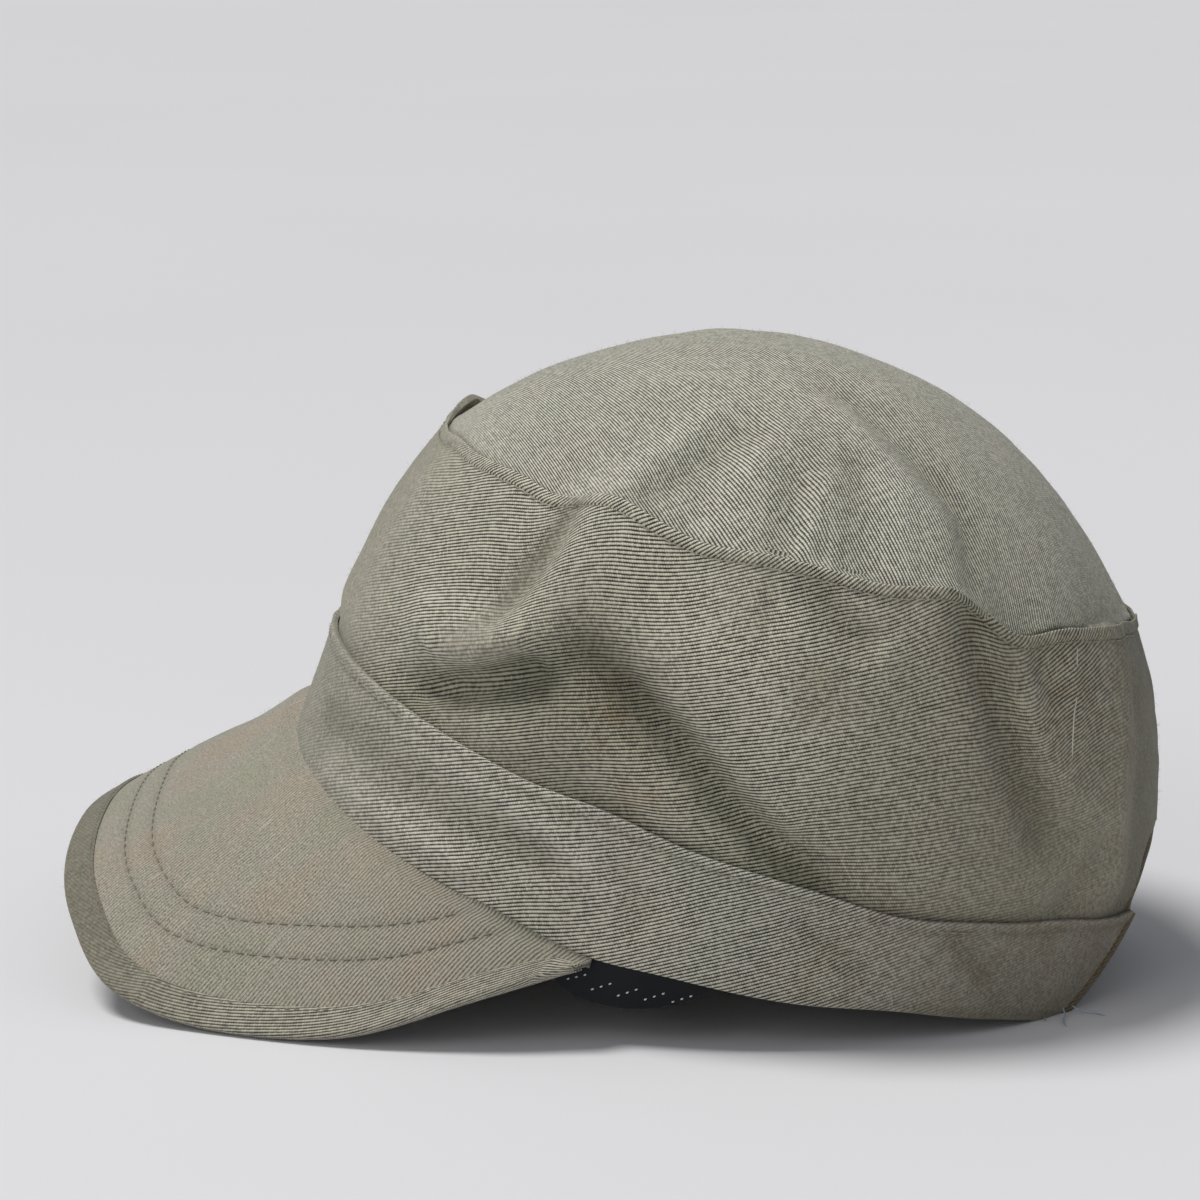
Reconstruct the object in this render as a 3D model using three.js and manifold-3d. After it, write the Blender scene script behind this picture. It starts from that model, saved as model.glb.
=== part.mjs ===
// A cadet cap of grey-olive cotton twill, at rest on a level surface, in millimetres.
// The front is -Y, the wearer's left is +X and up is +Z. The cap stands on the two low corners of
// its peak and on the back corners of its band, so it leans back.
// Every piece is first shaped in the cap's own frame: the band lies about level, round the Z axis,
// with its lower edge near Z = 0. Angles are in degrees round Z, from the front (0) towards the
// wearer's left (+90) and the back (180).
import * as THREE from 'three';
import Module from 'manifold-3d';

const wasm = await Module();
wasm.setup();

// Head size, measured outside the band
const HEAD_LENGTH = 206;
const HEAD_WIDTH = 164;

// Gap between neighbouring pieces
const GAP = 0.3;

// Cloth thicknesses
const BAND_THICK = 1.2;
const CROWN_THICK = 1.6;
const SWEATBAND_THICK = 1.2;
const PEAK_THICK = 2.6;
const BINDING_THICK = 0.8;

// The band: its lower edge rises at the front and back, and its height falls towards the back
const BAND = {
  wave: 4.0,
  height: 27.1,
  frontMoreThanBack: 5.3,
  endsLessThanSides: 1.6,
  flare: 1.5,
  narrowing: 0.7,
  topShift: 1.5,
};

// The seam between side wall and top panel
const SEAM = {
  halfLength: 84.2,
  halfWidth: 79.8,
  shift: -2.3,
  height: 90.7,
  sidesMore: 3.0,
};

// How far the side wall swells outwards between the band and the seam
const SWELL = { front: 3.1, side: 4.0, back: 3.0, power: 1.2 };

// The domed top panel above the seam
const DOME = { rise: 37.2, centre: -5.8, roundFront: 2.15, roundBack: 2.5, fullness: 0.9 };

// How far the side wall reaches down behind the band, and the height of the sweatband's top below it
const WALL_TUCK = 6;
const SWEATBAND_CLEARANCE = 1;

// The sag of the sweatband below the band, behind each end of the peak
const SAG = { at: 82.5, reach: 14, depth: 11.0 };

// The back opening: an arch above the band's lower edge, with a narrow hem
const ARCH_STEPS = 28;
const HEM = { width: 2.3, proud: 0.4, depth: 2.8 };

// The opening's edge on the wearer's left, seen from behind, from its foot to the middle of the top
const ARCH_EDGE = [
  { x: 39.5, z: -0.6 },
  { x: 35.2, z: 4.8 },
  { x: 30.4, z: 10.6 },
  { x: 25.8, z: 16.6 },
  { x: 22.2, z: 22.6 },
  { x: 20.5, z: 28.2 },
  { x: 18.0, z: 33.2 },
  { x: 13.0, z: 37.0 },
  { x: 6.7, z: 39.0 },
  { x: 0, z: 39.6 },
];

// The peak runs this far round the band on each side, and swells up across its length
const PEAK_END_ANGLE = 80;
const PEAK_SWELL = 1.6;

// Outer edge of the peak on the wearer's left, from the middle of the front to the end at the band
const PEAK_EDGE = [
  { x: 0, y: -147.0, z: -31.5 },
  { x: 35.5, y: -143.8, z: -33.6 },
  { x: 56.7, y: -136.2, z: -39.3 },
  { x: 73.2, y: -121.8, z: -46.6 },
  { x: 82.0, y: -97.5, z: -46.4 },
  { x: 88.3, y: -67.0, z: -37.2 },
  { x: 88.5, y: -41.0, z: -20.5 },
  { x: 84.2, y: -21.5, z: -8.4 },
];

// Width of the binding on the peak's top and underneath
const BINDING_TOP = 10;
const BINDING_UNDER = 8;

// Waves of the edges, where the cloth lifts or sags: place, lift in mm and reach in degrees.
// The band's lower edge has them on both sides, except its lift beside the middle of the front.
const BAND_BOTTOM_WAVES = [
  { at: 79, lift: -1.6, reach: 8 },
  { at: 119, lift: 1.6, reach: 11 },
  { at: 149, lift: -2.0, reach: 9 },
];
const FRONT_LIFT = [{ at: -12, lift: 6.5, reach: 14 }];
const BAND_TOP_WAVES = [
  { at: 76, lift: 1.5, reach: 8 },
  { at: 116, lift: -1.8, reach: 9 },
  { at: 143, lift: 1.2, reach: 8 },
];
const SEAM_WAVES = [
  { at: 22, lift: 1.1, reach: 6 },
  { at: 52, lift: -1.6, reach: 5 },
  { at: 63, lift: 2.3, reach: 6 },
  { at: 79, lift: -1.8, reach: 7 },
  { at: 117, lift: 3.2, reach: 7 },
  { at: 132, lift: -3.8, reach: 7 },
];

// Where the side wall's edge stands up past the top panel
const WALL_EDGE_LIFTS = [
  { at: -14, lift: 3.2, reach: 8 },
  { at: 158, lift: 2.2, reach: 10 },
];

// Folds of the side wall: from and to are an angle and a height, 0 at the band and 1 at the seam.
// A dent has a positive depth and a ridge a negative one. Reach is the half width, in mm.
const WALL_FOLDS = [
  { from: [41, 0.02], to: [61, 0.35], depth: 3.8, reach: 7 },
  { from: [42, 0.38], to: [58, 0.5], depth: -2.8, reach: 8 },
  { from: [57, 0.86], to: [54, 0.62], depth: 1.6, reach: 5 },
  { from: [65, 0.53], to: [102, 0.03], depth: 3.4, reach: 7 },
  { from: [80, 0.62], to: [98, 0.4], depth: -2.0, reach: 9 },
  { from: [73, 0.22], to: [82, 0.12], depth: -1.6, reach: 8 },
  { from: [96, 0.92], to: [104, 0.82], depth: 1.8, reach: 5 },
  { from: [122, 0.92], to: [136, 0.36], depth: 2.4, reach: 7 },
  { from: [132, 0.75], to: [141, 0.43], depth: -1.6, reach: 6 },
  { from: [157, 0.95], to: [154, 0.05], depth: -1.6, reach: 6 },
  { from: [-45, 0.1], to: [-75, 0.4], depth: 2.0, reach: 10 },
  { from: [-95, 0.7], to: [-100, 0.2], depth: 1.8, reach: 9 },
];

// Folds of the top panel, from and to in plan
const TOP_FOLDS = [
  { from: [36, 10], to: [62, 41], depth: 1.8, reach: 6 },
  { from: [36, 2], to: [54, 24], depth: -1.2, reach: 6 },
  { from: [50, -17], to: [71, -36], depth: 1.8, reach: 5 },
  { from: [58, -2], to: [78, -4], depth: 1.2, reach: 5 },
];

// How far the top panel's rim lies inside the side wall's edge, which stands out round the back
// and beside the middle of the front
const BACK_LEDGE = { depth: 1.8, start: 122, end: 138 };
const FRONT_LEDGE = [{ at: -14, lift: 3.2, reach: 16 }];

// The cap's lean at rest, and where its own frame then lies
const LEAN = 14.5;
const REST = { y: 21.7, z: 21.5 };

// Fineness of the meshes
const ROUND_STEPS = 90;
const PEAK_STEPS = 44;
const WALL_LEVELS = [0, 0.07, 0.18, 0.32, 0.46, 0.6, 0.74, 0.88, 1];
const DOME_LEVELS = [1, 0.94, 0.86, 0.74, 0.58, 0.4, 0.2, 0];
const PEAK_LEVELS = [0, 0.14, 0.32, 0.5, 0.68, 0.84, 1];

const cos = (angle) => Math.cos(THREE.MathUtils.degToRad(angle));
const sin = (angle) => Math.sin(THREE.MathUtils.degToRad(angle));
const mix = (a, b, share) => a + (b - a) * share;
const bell = (offset, reach) => Math.exp(-((offset / reach) ** 2));
const outwards = (angle) => new THREE.Vector3(sin(angle), -cos(angle), 0);

function waves(table, angle) {
  return table.reduce((sum, wave) => sum + wave.lift * bell(angle - wave.at, wave.reach), 0);
}

// Depth of the folds at a place in the plane, with the distances in mm
function foldDepth(table, scaleX, scaleY, x, y) {
  let depth = 0;
  for (const fold of table) {
    const ax = fold.from[0] * scaleX;
    const ay = fold.from[1] * scaleY;
    const dx = fold.to[0] * scaleX - ax;
    const dy = fold.to[1] * scaleY - ay;
    const px = x * scaleX - ax;
    const py = y * scaleY - ay;
    const share = THREE.MathUtils.clamp((px * dx + py * dy) / (dx * dx + dy * dy), 0, 1);
    depth += fold.depth * bell(Math.hypot(px - share * dx, py - share * dy), fold.reach);
  }
  return depth;
}

// A point on an oval section
function oval(angle, halfWidth, halfLength, shift, z) {
  return new THREE.Vector3(halfWidth * sin(angle), shift - halfLength * cos(angle), z);
}

function bandBottomHeight(angle) {
  const lift = waves(BAND_BOTTOM_WAVES, Math.abs(angle)) + waves(FRONT_LIFT, angle);
  return BAND.wave * cos(2 * angle) + lift;
}

function bandTopHeight(angle) {
  const height = BAND.height + BAND.frontMoreThanBack * cos(angle) - BAND.endsLessThanSides * cos(2 * angle);
  return BAND.wave * cos(2 * angle) + height + waves(BAND_TOP_WAVES, angle);
}

function seamHeight(angle) {
  return SEAM.height - SEAM.sidesMore * cos(2 * angle) + waves(SEAM_WAVES, angle);
}

// The band's outer face at a height, moved inwards by inset
function bandPoint(angle, z, inset) {
  const share = (z - bandBottomHeight(angle)) / (bandTopHeight(angle) - bandBottomHeight(angle));
  const halfWidth = HEAD_WIDTH / 2 + BAND.flare * share - inset;
  const halfLength = HEAD_LENGTH / 2 - BAND.narrowing * share - inset;
  return oval(angle, halfWidth, halfLength, BAND.topShift * share, z);
}

// The side wall's outer face, level 0 at the band's top and 1 at the seam, moved inwards by inset
function wallPoint(angle, level, inset) {
  const edge = seamHeight(angle) + waves(WALL_EDGE_LIFTS, angle) * level ** 6;
  const z = mix(bandTopHeight(angle), edge, level);
  const low = bandPoint(angle, bandTopHeight(angle), inset);
  const high = oval(angle, SEAM.halfWidth - inset, SEAM.halfLength - inset, SEAM.shift, z);
  const rise = level ** SWELL.power;
  const ends = cos(angle) > 0 ? SWELL.front : SWELL.back;
  const swell = (ends * Math.abs(cos(angle)) + SWELL.side * sin(angle) ** 2) * 4 * rise * (1 - rise);
  const step = THREE.MathUtils.smoothstep(level, 0, 0.16);
  const behindBand = (BAND_THICK + GAP) * (1 - step);
  const folds = foldDepth(WALL_FOLDS, 1.5, 62, angle, level) * step;
  const point = low.lerp(high, level);
  point.z = z;
  return point.addScaledVector(outwards(angle), swell - behindBand - folds);
}

// The top panel's outer face, radius 1 at its rim and 0 at the crown, for a shell that lies lower by inset
function domePoint(angle, radius, inset) {
  const { depth, start, end } = BACK_LEDGE;
  const behind = depth * THREE.MathUtils.smoothstep(Math.abs(angle), start, end);
  const rim = inset * 1.2 + (behind + waves(FRONT_LEDGE, angle)) * radius ** 6;
  const edge = oval(angle, SEAM.halfWidth - rim, SEAM.halfLength - rim, SEAM.shift, 0);
  const x = edge.x * radius;
  const y = mix(DOME.centre, edge.y, radius);
  const sides = SEAM.sidesMore * cos(2 * angle) * radius ** 2;
  const base = SEAM.height - sides + waves(SEAM_WAVES, angle) * radius ** 8 + GAP;
  const roundness = mix(DOME.roundFront, DOME.roundBack, (1 - cos(angle)) / 2);
  const rise = (DOME.rise - inset) * (1 - radius ** roundness) ** (1 / DOME.fullness);
  const folds = foldDepth(TOP_FOLDS, 1, 1, x, y) * (1 - radius ** 6);
  return new THREE.Vector3(x, y, base + rise - folds);
}

// A closed solid through sections that each hold an outer and an inner row of points
function solidThrough(sections, closed) {
  const loops = sections.map((section) => [...section.outer, ...[...section.inner].reverse()]);
  const size = loops[0].length;
  const corners = [];
  const places = new Map();
  const indexOf = (point) => {
    const key = point.toArray().map((value) => Math.round(value * 1e4)).join();
    if (!places.has(key)) {
      places.set(key, corners.length / 3);
      corners.push(...point.toArray());
    }
    return places.get(key);
  };
  const ids = loops.map((loop) => loop.map(indexOf));
  const faces = [];
  const addTriangle = (a, b, c) => {
    if (a !== b && b !== c && c !== a) faces.push(a, b, c);
  };
  const addQuad = (a, b, c, d) => {
    addTriangle(a, b, c);
    addTriangle(a, c, d);
  };
  const spans = closed ? ids.length : ids.length - 1;
  for (let i = 0; i < spans; i += 1) {
    const here = ids[i];
    const next = ids[(i + 1) % ids.length];
    for (let j = 0; j < size; j += 1) {
      const k = (j + 1) % size;
      addQuad(here[j], next[j], next[k], here[k]);
    }
  }
  if (!closed) {
    const first = ids[0];
    const last = ids[ids.length - 1];
    for (let j = 0; j + 1 < size / 2; j += 1) {
      addQuad(first[j], first[j + 1], first[size - 2 - j], first[size - 1 - j]);
      addQuad(last[j + 1], last[j], last[size - 1 - j], last[size - 2 - j]);
    }
  }
  return solidFrom(corners, faces);
}

// A manifold solid with its faces pointing out
function solidFrom(corners, faces) {
  let volume = 0;
  const corner = (index) => new THREE.Vector3().fromArray(corners, index * 3);
  for (let i = 0; i < faces.length; i += 3) {
    volume += corner(faces[i]).dot(corner(faces[i + 1]).cross(corner(faces[i + 2])));
  }
  const triangles = volume < 0 ? faces.toReversed() : faces;
  return new wasm.Manifold(new wasm.Mesh({
    numProp: 3,
    vertProperties: new Float32Array(corners),
    triVerts: new Uint32Array(triangles),
  }));
}

// A solid from a closed three.js geometry
function solidFromGeometry(geometry) {
  const source = geometry.index ? geometry.toNonIndexed() : geometry;
  const position = source.attributes.position;
  const corners = [];
  const places = new Map();
  const faces = [];
  for (let i = 0; i < position.count; i += 1) {
    const point = new THREE.Vector3().fromBufferAttribute(position, i);
    const key = point.toArray().map((value) => Math.round(value * 1e4)).join();
    if (!places.has(key)) {
      places.set(key, corners.length / 3);
      corners.push(...point.toArray());
    }
    faces.push(places.get(key));
  }
  return solidFrom(corners, faces);
}

function namedMesh(name, solid, material) {
  const mesh = solid.getMesh();
  const geometry = new THREE.BufferGeometry();
  geometry.setAttribute('position', new THREE.BufferAttribute(new Float32Array(mesh.vertProperties), 3));
  geometry.setIndex(new THREE.BufferAttribute(new Uint32Array(mesh.triVerts), 1));
  geometry.computeVertexNormals();
  const node = new THREE.Mesh(geometry, material);
  node.name = name;
  return node;
}

function anglesRound() {
  return Array.from({ length: ROUND_STEPS }, (_, i) => -180 + (360 * i) / ROUND_STEPS);
}

const archCurve = new THREE.SplineCurve([
  ...ARCH_EDGE.map((row) => new THREE.Vector2(-row.x, row.z)),
  ...ARCH_EDGE.slice(0, -1).reverse().map((row) => new THREE.Vector2(row.x, row.z)),
]);

// The arch's edge in the XZ plane, share 0 to 1 from the right foot over the top to the left foot
function archPoint(share, offset) {
  const point = archCurve.getPoint(share);
  if (share <= 0 || share >= 1) {
    return point.add(new THREE.Vector2(share <= 0 ? -offset : offset, 0));
  }
  const along = archCurve.getTangent(share);
  return point.add(new THREE.Vector2(-along.y, along.x).multiplyScalar(offset));
}

// The block that cuts the back opening, wider than the arch by an offset
function archCutter(offset) {
  const below = -30;
  const shape = new THREE.Shape();
  shape.moveTo(-ARCH_EDGE[0].x - offset, below);
  for (let i = 0; i <= ARCH_STEPS; i += 1) {
    const point = archPoint(i / ARCH_STEPS, offset);
    shape.lineTo(point.x, point.y);
  }
  shape.lineTo(ARCH_EDGE[0].x + offset, below);
  shape.closePath();
  const front = 40;
  const back = 130;
  const geometry = new THREE.ExtrudeGeometry(shape, { depth: back - front, bevelEnabled: false });
  geometry.rotateX(Math.PI / 2);
  geometry.translate(0, back, 0);
  return solidFromGeometry(geometry);
}

// The space under the surface that the cap rests on, in the cap's own frame
function groundBlock(placement) {
  const size = 600;
  const geometry = new THREE.BoxGeometry(size, size, size);
  geometry.translate(0, 0, -size / 2);
  geometry.applyMatrix4(placement.clone().invert());
  return solidFromGeometry(geometry);
}

function crownSide() {
  const sections = anglesRound().map((angle) => {
    const tuckHeight = bandTopHeight(angle) - WALL_TUCK;
    const column = (inset) => [
      bandPoint(angle, tuckHeight, BAND_THICK + GAP + inset),
      ...WALL_LEVELS.map((level) => wallPoint(angle, level, inset)),
    ];
    return { outer: column(0), inner: column(CROWN_THICK) };
  });
  return solidThrough(sections, true);
}

function crownTop() {
  const sections = anglesRound().map((angle) => {
    const column = (inset) => DOME_LEVELS.map((radius) => domePoint(angle, radius, inset));
    return { outer: column(0), inner: column(CROWN_THICK) };
  });
  return solidThrough(sections, true);
}

function band() {
  const sections = anglesRound().map((angle) => {
    const low = bandBottomHeight(angle);
    const high = bandTopHeight(angle);
    const column = (inset) => [0, 0.5, 1].map((share) => bandPoint(angle, mix(low, high, share), inset));
    return { outer: column(0), inner: column(BAND_THICK) };
  });
  return solidThrough(sections, true);
}

function sweatband() {
  const near = BAND_THICK + GAP;
  const sections = anglesRound().map((angle) => {
    const offset = Math.min(Math.abs(Math.abs(angle) - SAG.at) / SAG.reach, 1);
    const low = bandBottomHeight(angle) + 0.5 - SAG.depth * (1 - offset ** 2.5);
    const high = bandTopHeight(angle) - WALL_TUCK - SWEATBAND_CLEARANCE;
    const column = (inset) => [0, 0.5, 1].map((share) => bandPoint(angle, mix(low, high, share), inset));
    return { outer: column(near), inner: column(near + SWEATBAND_THICK) };
  });
  return solidThrough(sections, true);
}

// The outer surface of band and wall at the back, at a place given by x and z
function backSurface(x, z) {
  let angle = 180 - THREE.MathUtils.radToDeg(Math.asin(x / (HEAD_WIDTH / 2)));
  let point;
  for (let i = 0; i < 8; i += 1) {
    const top = bandTopHeight(angle);
    if (z < top) point = bandPoint(angle, z, 0);
    else point = wallPoint(angle, (z - top) / (seamHeight(angle) - top), 0);
    angle += THREE.MathUtils.radToDeg((point.x - x) / (HEAD_WIDTH / 2));
  }
  return point;
}

function backHem() {
  const sections = Array.from({ length: ARCH_STEPS + 1 }, (_, i) => {
    const row = (offset) => {
      const place = archPoint(i / ARCH_STEPS, offset);
      const surface = backSurface(place.x, place.y);
      const away = new THREE.Vector3(surface.x, surface.y, 0).normalize();
      return {
        face: surface.clone().addScaledVector(away, HEM.proud),
        lining: surface.clone().addScaledVector(away, -HEM.depth),
      };
    };
    const edge = row(0);
    const border = row(HEM.width);
    return { outer: [edge.face, border.face], inner: [edge.lining, border.lining] };
  });
  return solidThrough(sections, false);
}

// The peak's outer edge from the wearer's right to the left
const peakEdge = new THREE.CatmullRomCurve3([
  ...PEAK_EDGE.slice(1).reverse().map((row) => new THREE.Vector3(-row.x, row.y, row.z)),
  ...PEAK_EDGE.map((row) => new THREE.Vector3(row.x, row.y, row.z)),
]);

// The middle surface of the peak: share 0 to 1 from right to left, level 0 at the band and 1 at the edge
function peakPoint(share, level) {
  const angle = PEAK_END_ANGLE * (2 * share - 1);
  const root = bandPoint(angle, bandBottomHeight(angle), -GAP);
  root.z -= GAP + PEAK_THICK / 2;
  const edge = peakEdge.getPointAt(share);
  const length = root.distanceTo(edge);
  const point = root.lerp(edge, level);
  point.z += PEAK_SWELL * Math.min(length / 50, 1) * 4 * level * (1 - level);
  return point;
}

function peakNormal(share, level) {
  const small = 0.004;
  const left = peakPoint(Math.min(share + small, 1), level);
  const right = peakPoint(Math.max(share - small, 0), level);
  const out = peakPoint(share, Math.min(level + small * 5, 1));
  const back = peakPoint(share, Math.max(level - small * 5, 0));
  return out.sub(back).cross(left.sub(right)).normalize();
}

// A point beside the peak's middle surface: inwards from the outer edge by reach, and up by height
function besidePeak(share, reach, height) {
  const length = peakPoint(share, 0).distanceTo(peakPoint(share, 1));
  const level = 1 - reach / length;
  return peakPoint(share, level).addScaledVector(peakNormal(share, level), height);
}

function peak() {
  const endThinning = 0.3;
  const sections = Array.from({ length: PEAK_STEPS + 1 }, (_, i) => {
    const share = i / PEAK_STEPS;
    const angle = PEAK_END_ANGLE * (2 * share - 1);
    const under = bandPoint(angle, bandBottomHeight(angle) - GAP - PEAK_THICK / 2, BAND_THICK);
    const length = peakPoint(share, 0).distanceTo(peakPoint(share, 1));
    const nearEnd = THREE.MathUtils.smoothstep(Math.abs(2 * share - 1), 0.8, 0.95);
    const half = (PEAK_THICK / 2) * (1 - endThinning * nearEnd);
    const edgeInset = BINDING_THICK + GAP + mix(0.5, 1.6, nearEnd);
    const face = (height) => [
      under.clone().add(new THREE.Vector3(0, 0, height)),
      ...PEAK_LEVELS.map((level) => besidePeak(share, length - (length - edgeInset) * level, height)),
    ];
    return { outer: face(half), inner: face(-half) };
  });
  return solidThrough(sections, false);
}

function peakBinding() {
  const inner = PEAK_THICK / 2 + GAP;
  const outer = inner + BINDING_THICK;
  const round = 1.1;
  const sections = Array.from({ length: PEAK_STEPS + 1 }, (_, i) => {
    const share = i / PEAK_STEPS;
    const length = peakPoint(share, 0).distanceTo(peakPoint(share, 1));
    const room = Math.max(length - 2.2, 2.1);
    const top = Math.min(BINDING_TOP, room);
    const under = Math.min(BINDING_UNDER, room);
    const at = (reach, height) => besidePeak(share, reach, height);
    return {
      outer: [
        at(top, outer),
        at(round, outer),
        at(0, outer - round),
        at(0, round - outer),
        at(round, -outer),
        at(under, -outer),
      ],
      inner: [
        at(top, inner),
        at(BINDING_THICK + 0.5, inner),
        at(BINDING_THICK, inner - 0.5),
        at(BINDING_THICK, 0.5 - inner),
        at(BINDING_THICK + 0.5, -inner),
        at(under, -inner),
      ],
    };
  });
  return solidThrough(sections, false);
}

const twill = new THREE.MeshStandardMaterial({ color: 0x7f7d6c, roughness: 0.9, metalness: 0 });
const peakCloth = new THREE.MeshStandardMaterial({ color: 0x908a78, roughness: 0.92, metalness: 0 });
const hemCloth = new THREE.MeshStandardMaterial({ color: 0x5e5b4e, roughness: 0.9, metalness: 0 });
const leatherette = new THREE.MeshStandardMaterial({ color: 0x14181c, roughness: 0.5, metalness: 0 });

const cap = new THREE.Group();
cap.rotation.x = -THREE.MathUtils.degToRad(LEAN);
cap.position.set(0, REST.y, REST.z);
cap.updateMatrix();

const ground = groundBlock(cap.matrix);
const opening = archCutter(HEM.width + GAP);

cap.add(
  namedMesh('crown_top', crownTop(), twill),
  namedMesh('crown_side', crownSide().subtract(opening), twill),
  namedMesh('band', band().subtract(opening).subtract(ground), twill),
  namedMesh('peak', peak(), peakCloth),
  namedMesh('peak_binding', peakBinding().subtract(ground), twill),
  namedMesh('sweatband', sweatband().subtract(opening), leatherette),
  namedMesh('back_hem', backHem().subtract(ground), hemCloth),
);

export default cap;
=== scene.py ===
import math

import bmesh
import bpy
import numpy as np
from mathutils import Matrix, Vector


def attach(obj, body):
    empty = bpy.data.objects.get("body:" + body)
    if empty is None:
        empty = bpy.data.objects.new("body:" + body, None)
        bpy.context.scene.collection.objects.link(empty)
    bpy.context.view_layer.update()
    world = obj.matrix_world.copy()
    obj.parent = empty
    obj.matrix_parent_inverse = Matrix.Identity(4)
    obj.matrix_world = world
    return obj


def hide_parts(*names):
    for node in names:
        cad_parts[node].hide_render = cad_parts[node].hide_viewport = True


# A cadet cap of grey-olive cotton twill, at rest on a pale floor.
# Every cloth piece is shaped in the cap's own frame, in millimetres, and then moved to where it rests.
# Angles are in degrees round the upright axis: 0 is the front, 90 the wearer's left and 180 the back.

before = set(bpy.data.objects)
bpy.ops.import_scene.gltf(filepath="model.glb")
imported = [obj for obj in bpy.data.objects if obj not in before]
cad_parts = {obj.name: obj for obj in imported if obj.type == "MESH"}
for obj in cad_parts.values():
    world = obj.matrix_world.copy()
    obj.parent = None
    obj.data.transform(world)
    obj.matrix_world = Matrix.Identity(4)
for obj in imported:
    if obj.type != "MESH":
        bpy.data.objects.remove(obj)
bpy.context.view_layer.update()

# Sizes in mm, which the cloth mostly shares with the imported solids. PEAK_END_ANGLE and SAG_AT are
# in degrees, and LEAN is how far the cap leans back
HEAD_LENGTH = 206
HEAD_WIDTH = 164
GAP = 0.3
BAND_THICK = 1.2
CROWN_THICK = 1.6
SWEATBAND_THICK = 1.2
PEAK_THICK = 2.6
BINDING_THICK = 0.55
BAND_WAVE = 4.0
BAND_HEIGHT = 27.1
BAND_FRONT_MORE = 5.3
BAND_ENDS_LESS = 1.6
BAND_FLARE = 1.5
BAND_NARROWING = 0.7
BAND_TOP_SHIFT = 1.5
SEAM_HALF_LENGTH = 84.2
SEAM_HALF_WIDTH = 79.8
SEAM_SHIFT = -2.3
SEAM_HEIGHT = 90.7
SEAM_SIDES_MORE = 3.0
SWELL_FRONT = 3.1
SWELL_SIDE = 4.0
SWELL_BACK = 3.0
SWELL_POWER = 1.2
DOME_RISE = 37.2
DOME_CENTRE = -5.8
DOME_ROUND_FRONT = 2.15
DOME_ROUND_BACK = 2.5
DOME_FULLNESS = 0.9
WALL_TUCK = 6
SAG_AT = 82.5
SAG_REACH = 14
SAG_DEPTH = 11.0
HEM_WIDTH = 2.3
HEM_PROUD = 0.8
HEM_DEPTH = 2.8
PEAK_END_ANGLE = 80
PEAK_SWELL = 1.6
BINDING_TOP = 7.6
BINDING_UNDER = 7
LEAN = math.radians(14.5)
REST_Y = 21.7
REST_Z = 21.5

# The opening's edge on the wearer's left, seen from behind: x and z from its foot to the middle
ARCH_EDGE = [
    (39.5, -0.6), (35.2, 4.8), (30.4, 10.6), (25.8, 16.6), (22.2, 22.6),
    (20.5, 28.2), (18.0, 33.2), (13.0, 37.0), (6.7, 39.0), (0.0, 39.6),
]

# The peak's outer edge on the wearer's left: x, y and z from the middle of the front to its end
PEAK_EDGE = [
    (0, -147.0, -31.5), (35.5, -143.8, -33.6), (56.7, -136.2, -39.3), (73.2, -121.8, -46.6),
    (82.0, -97.5, -46.4), (88.3, -67.0, -37.2), (88.5, -41.0, -20.5), (84.2, -21.5, -8.4),
]

# Loose threads at the foot of the band's end: x and y of the foot, and how far each reaches
LOOSE_THREADS = [(41.5, 89.0, 10.0, 1.5), (41.0, 87.5, 7.0, -2.5), (40.0, 91.0, 2.0, 7.0)]

# Waves of the edges: angle, lift in mm and reach in degrees
BAND_BOTTOM_WAVES = [(79, -1.6, 8), (119, 1.6, 11), (149, -2.0, 9)]
FRONT_LIFT = [(-12, 6.5, 14)]
BAND_TOP_WAVES = [(76, 1.5, 8), (116, -1.8, 9), (143, 1.2, 8)]
SEAM_WAVES = [(22, 1.1, 6), (52, -1.6, 5), (63, 2.3, 6), (79, -1.8, 7), (117, 3.2, 7), (132, -3.8, 7),
              (-158, -2.8, 17)]
WALL_EDGE_LIFTS = [(-11, 3.7, 8), (160, 1.8, 9)]
FRONT_LEDGE = [(-14, 2.2, 14)]
BACK_LEDGE_DEPTH = 1.4

# Folds of the side wall: depth and half width in mm, then places as an angle and a level,
# 0 at the band and 1 at the top seam. A ridge has a negative depth.
WALL_FOLDS = [
    (4.6, 6.5, [(41, 0.02), (50, 0.18), (61, 0.35)]),
    (-3.2, 7.5, [(42, 0.36), (50, 0.4), (58, 0.5)]),
    (1.6, 5, [(57, 0.86), (54, 0.62)]),
    (4.2, 6.0, [(68, 0.5), (73, 0.46), (80, 0.36), (90, 0.21), (103, 0.03)]),
    (-1.9, 8.5, [(80, 0.64), (98, 0.42)]),
    (-1.6, 8, [(73, 0.22), (82, 0.12)]),
    (1.8, 5, [(96, 0.92), (104, 0.82)]),
    (3.4, 6, [(122, 0.92), (129, 0.6), (136, 0.36)]),
    (-1.6, 6, [(132, 0.75), (141, 0.43), (150, 0.42)]),
    (-1.6, 6, [(157, 0.95), (154, 0.05)]),
    (2.0, 10, [(-45, 0.1), (-75, 0.4)]),
    (1.8, 9, [(-95, 0.7), (-100, 0.2)]),
]
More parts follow.
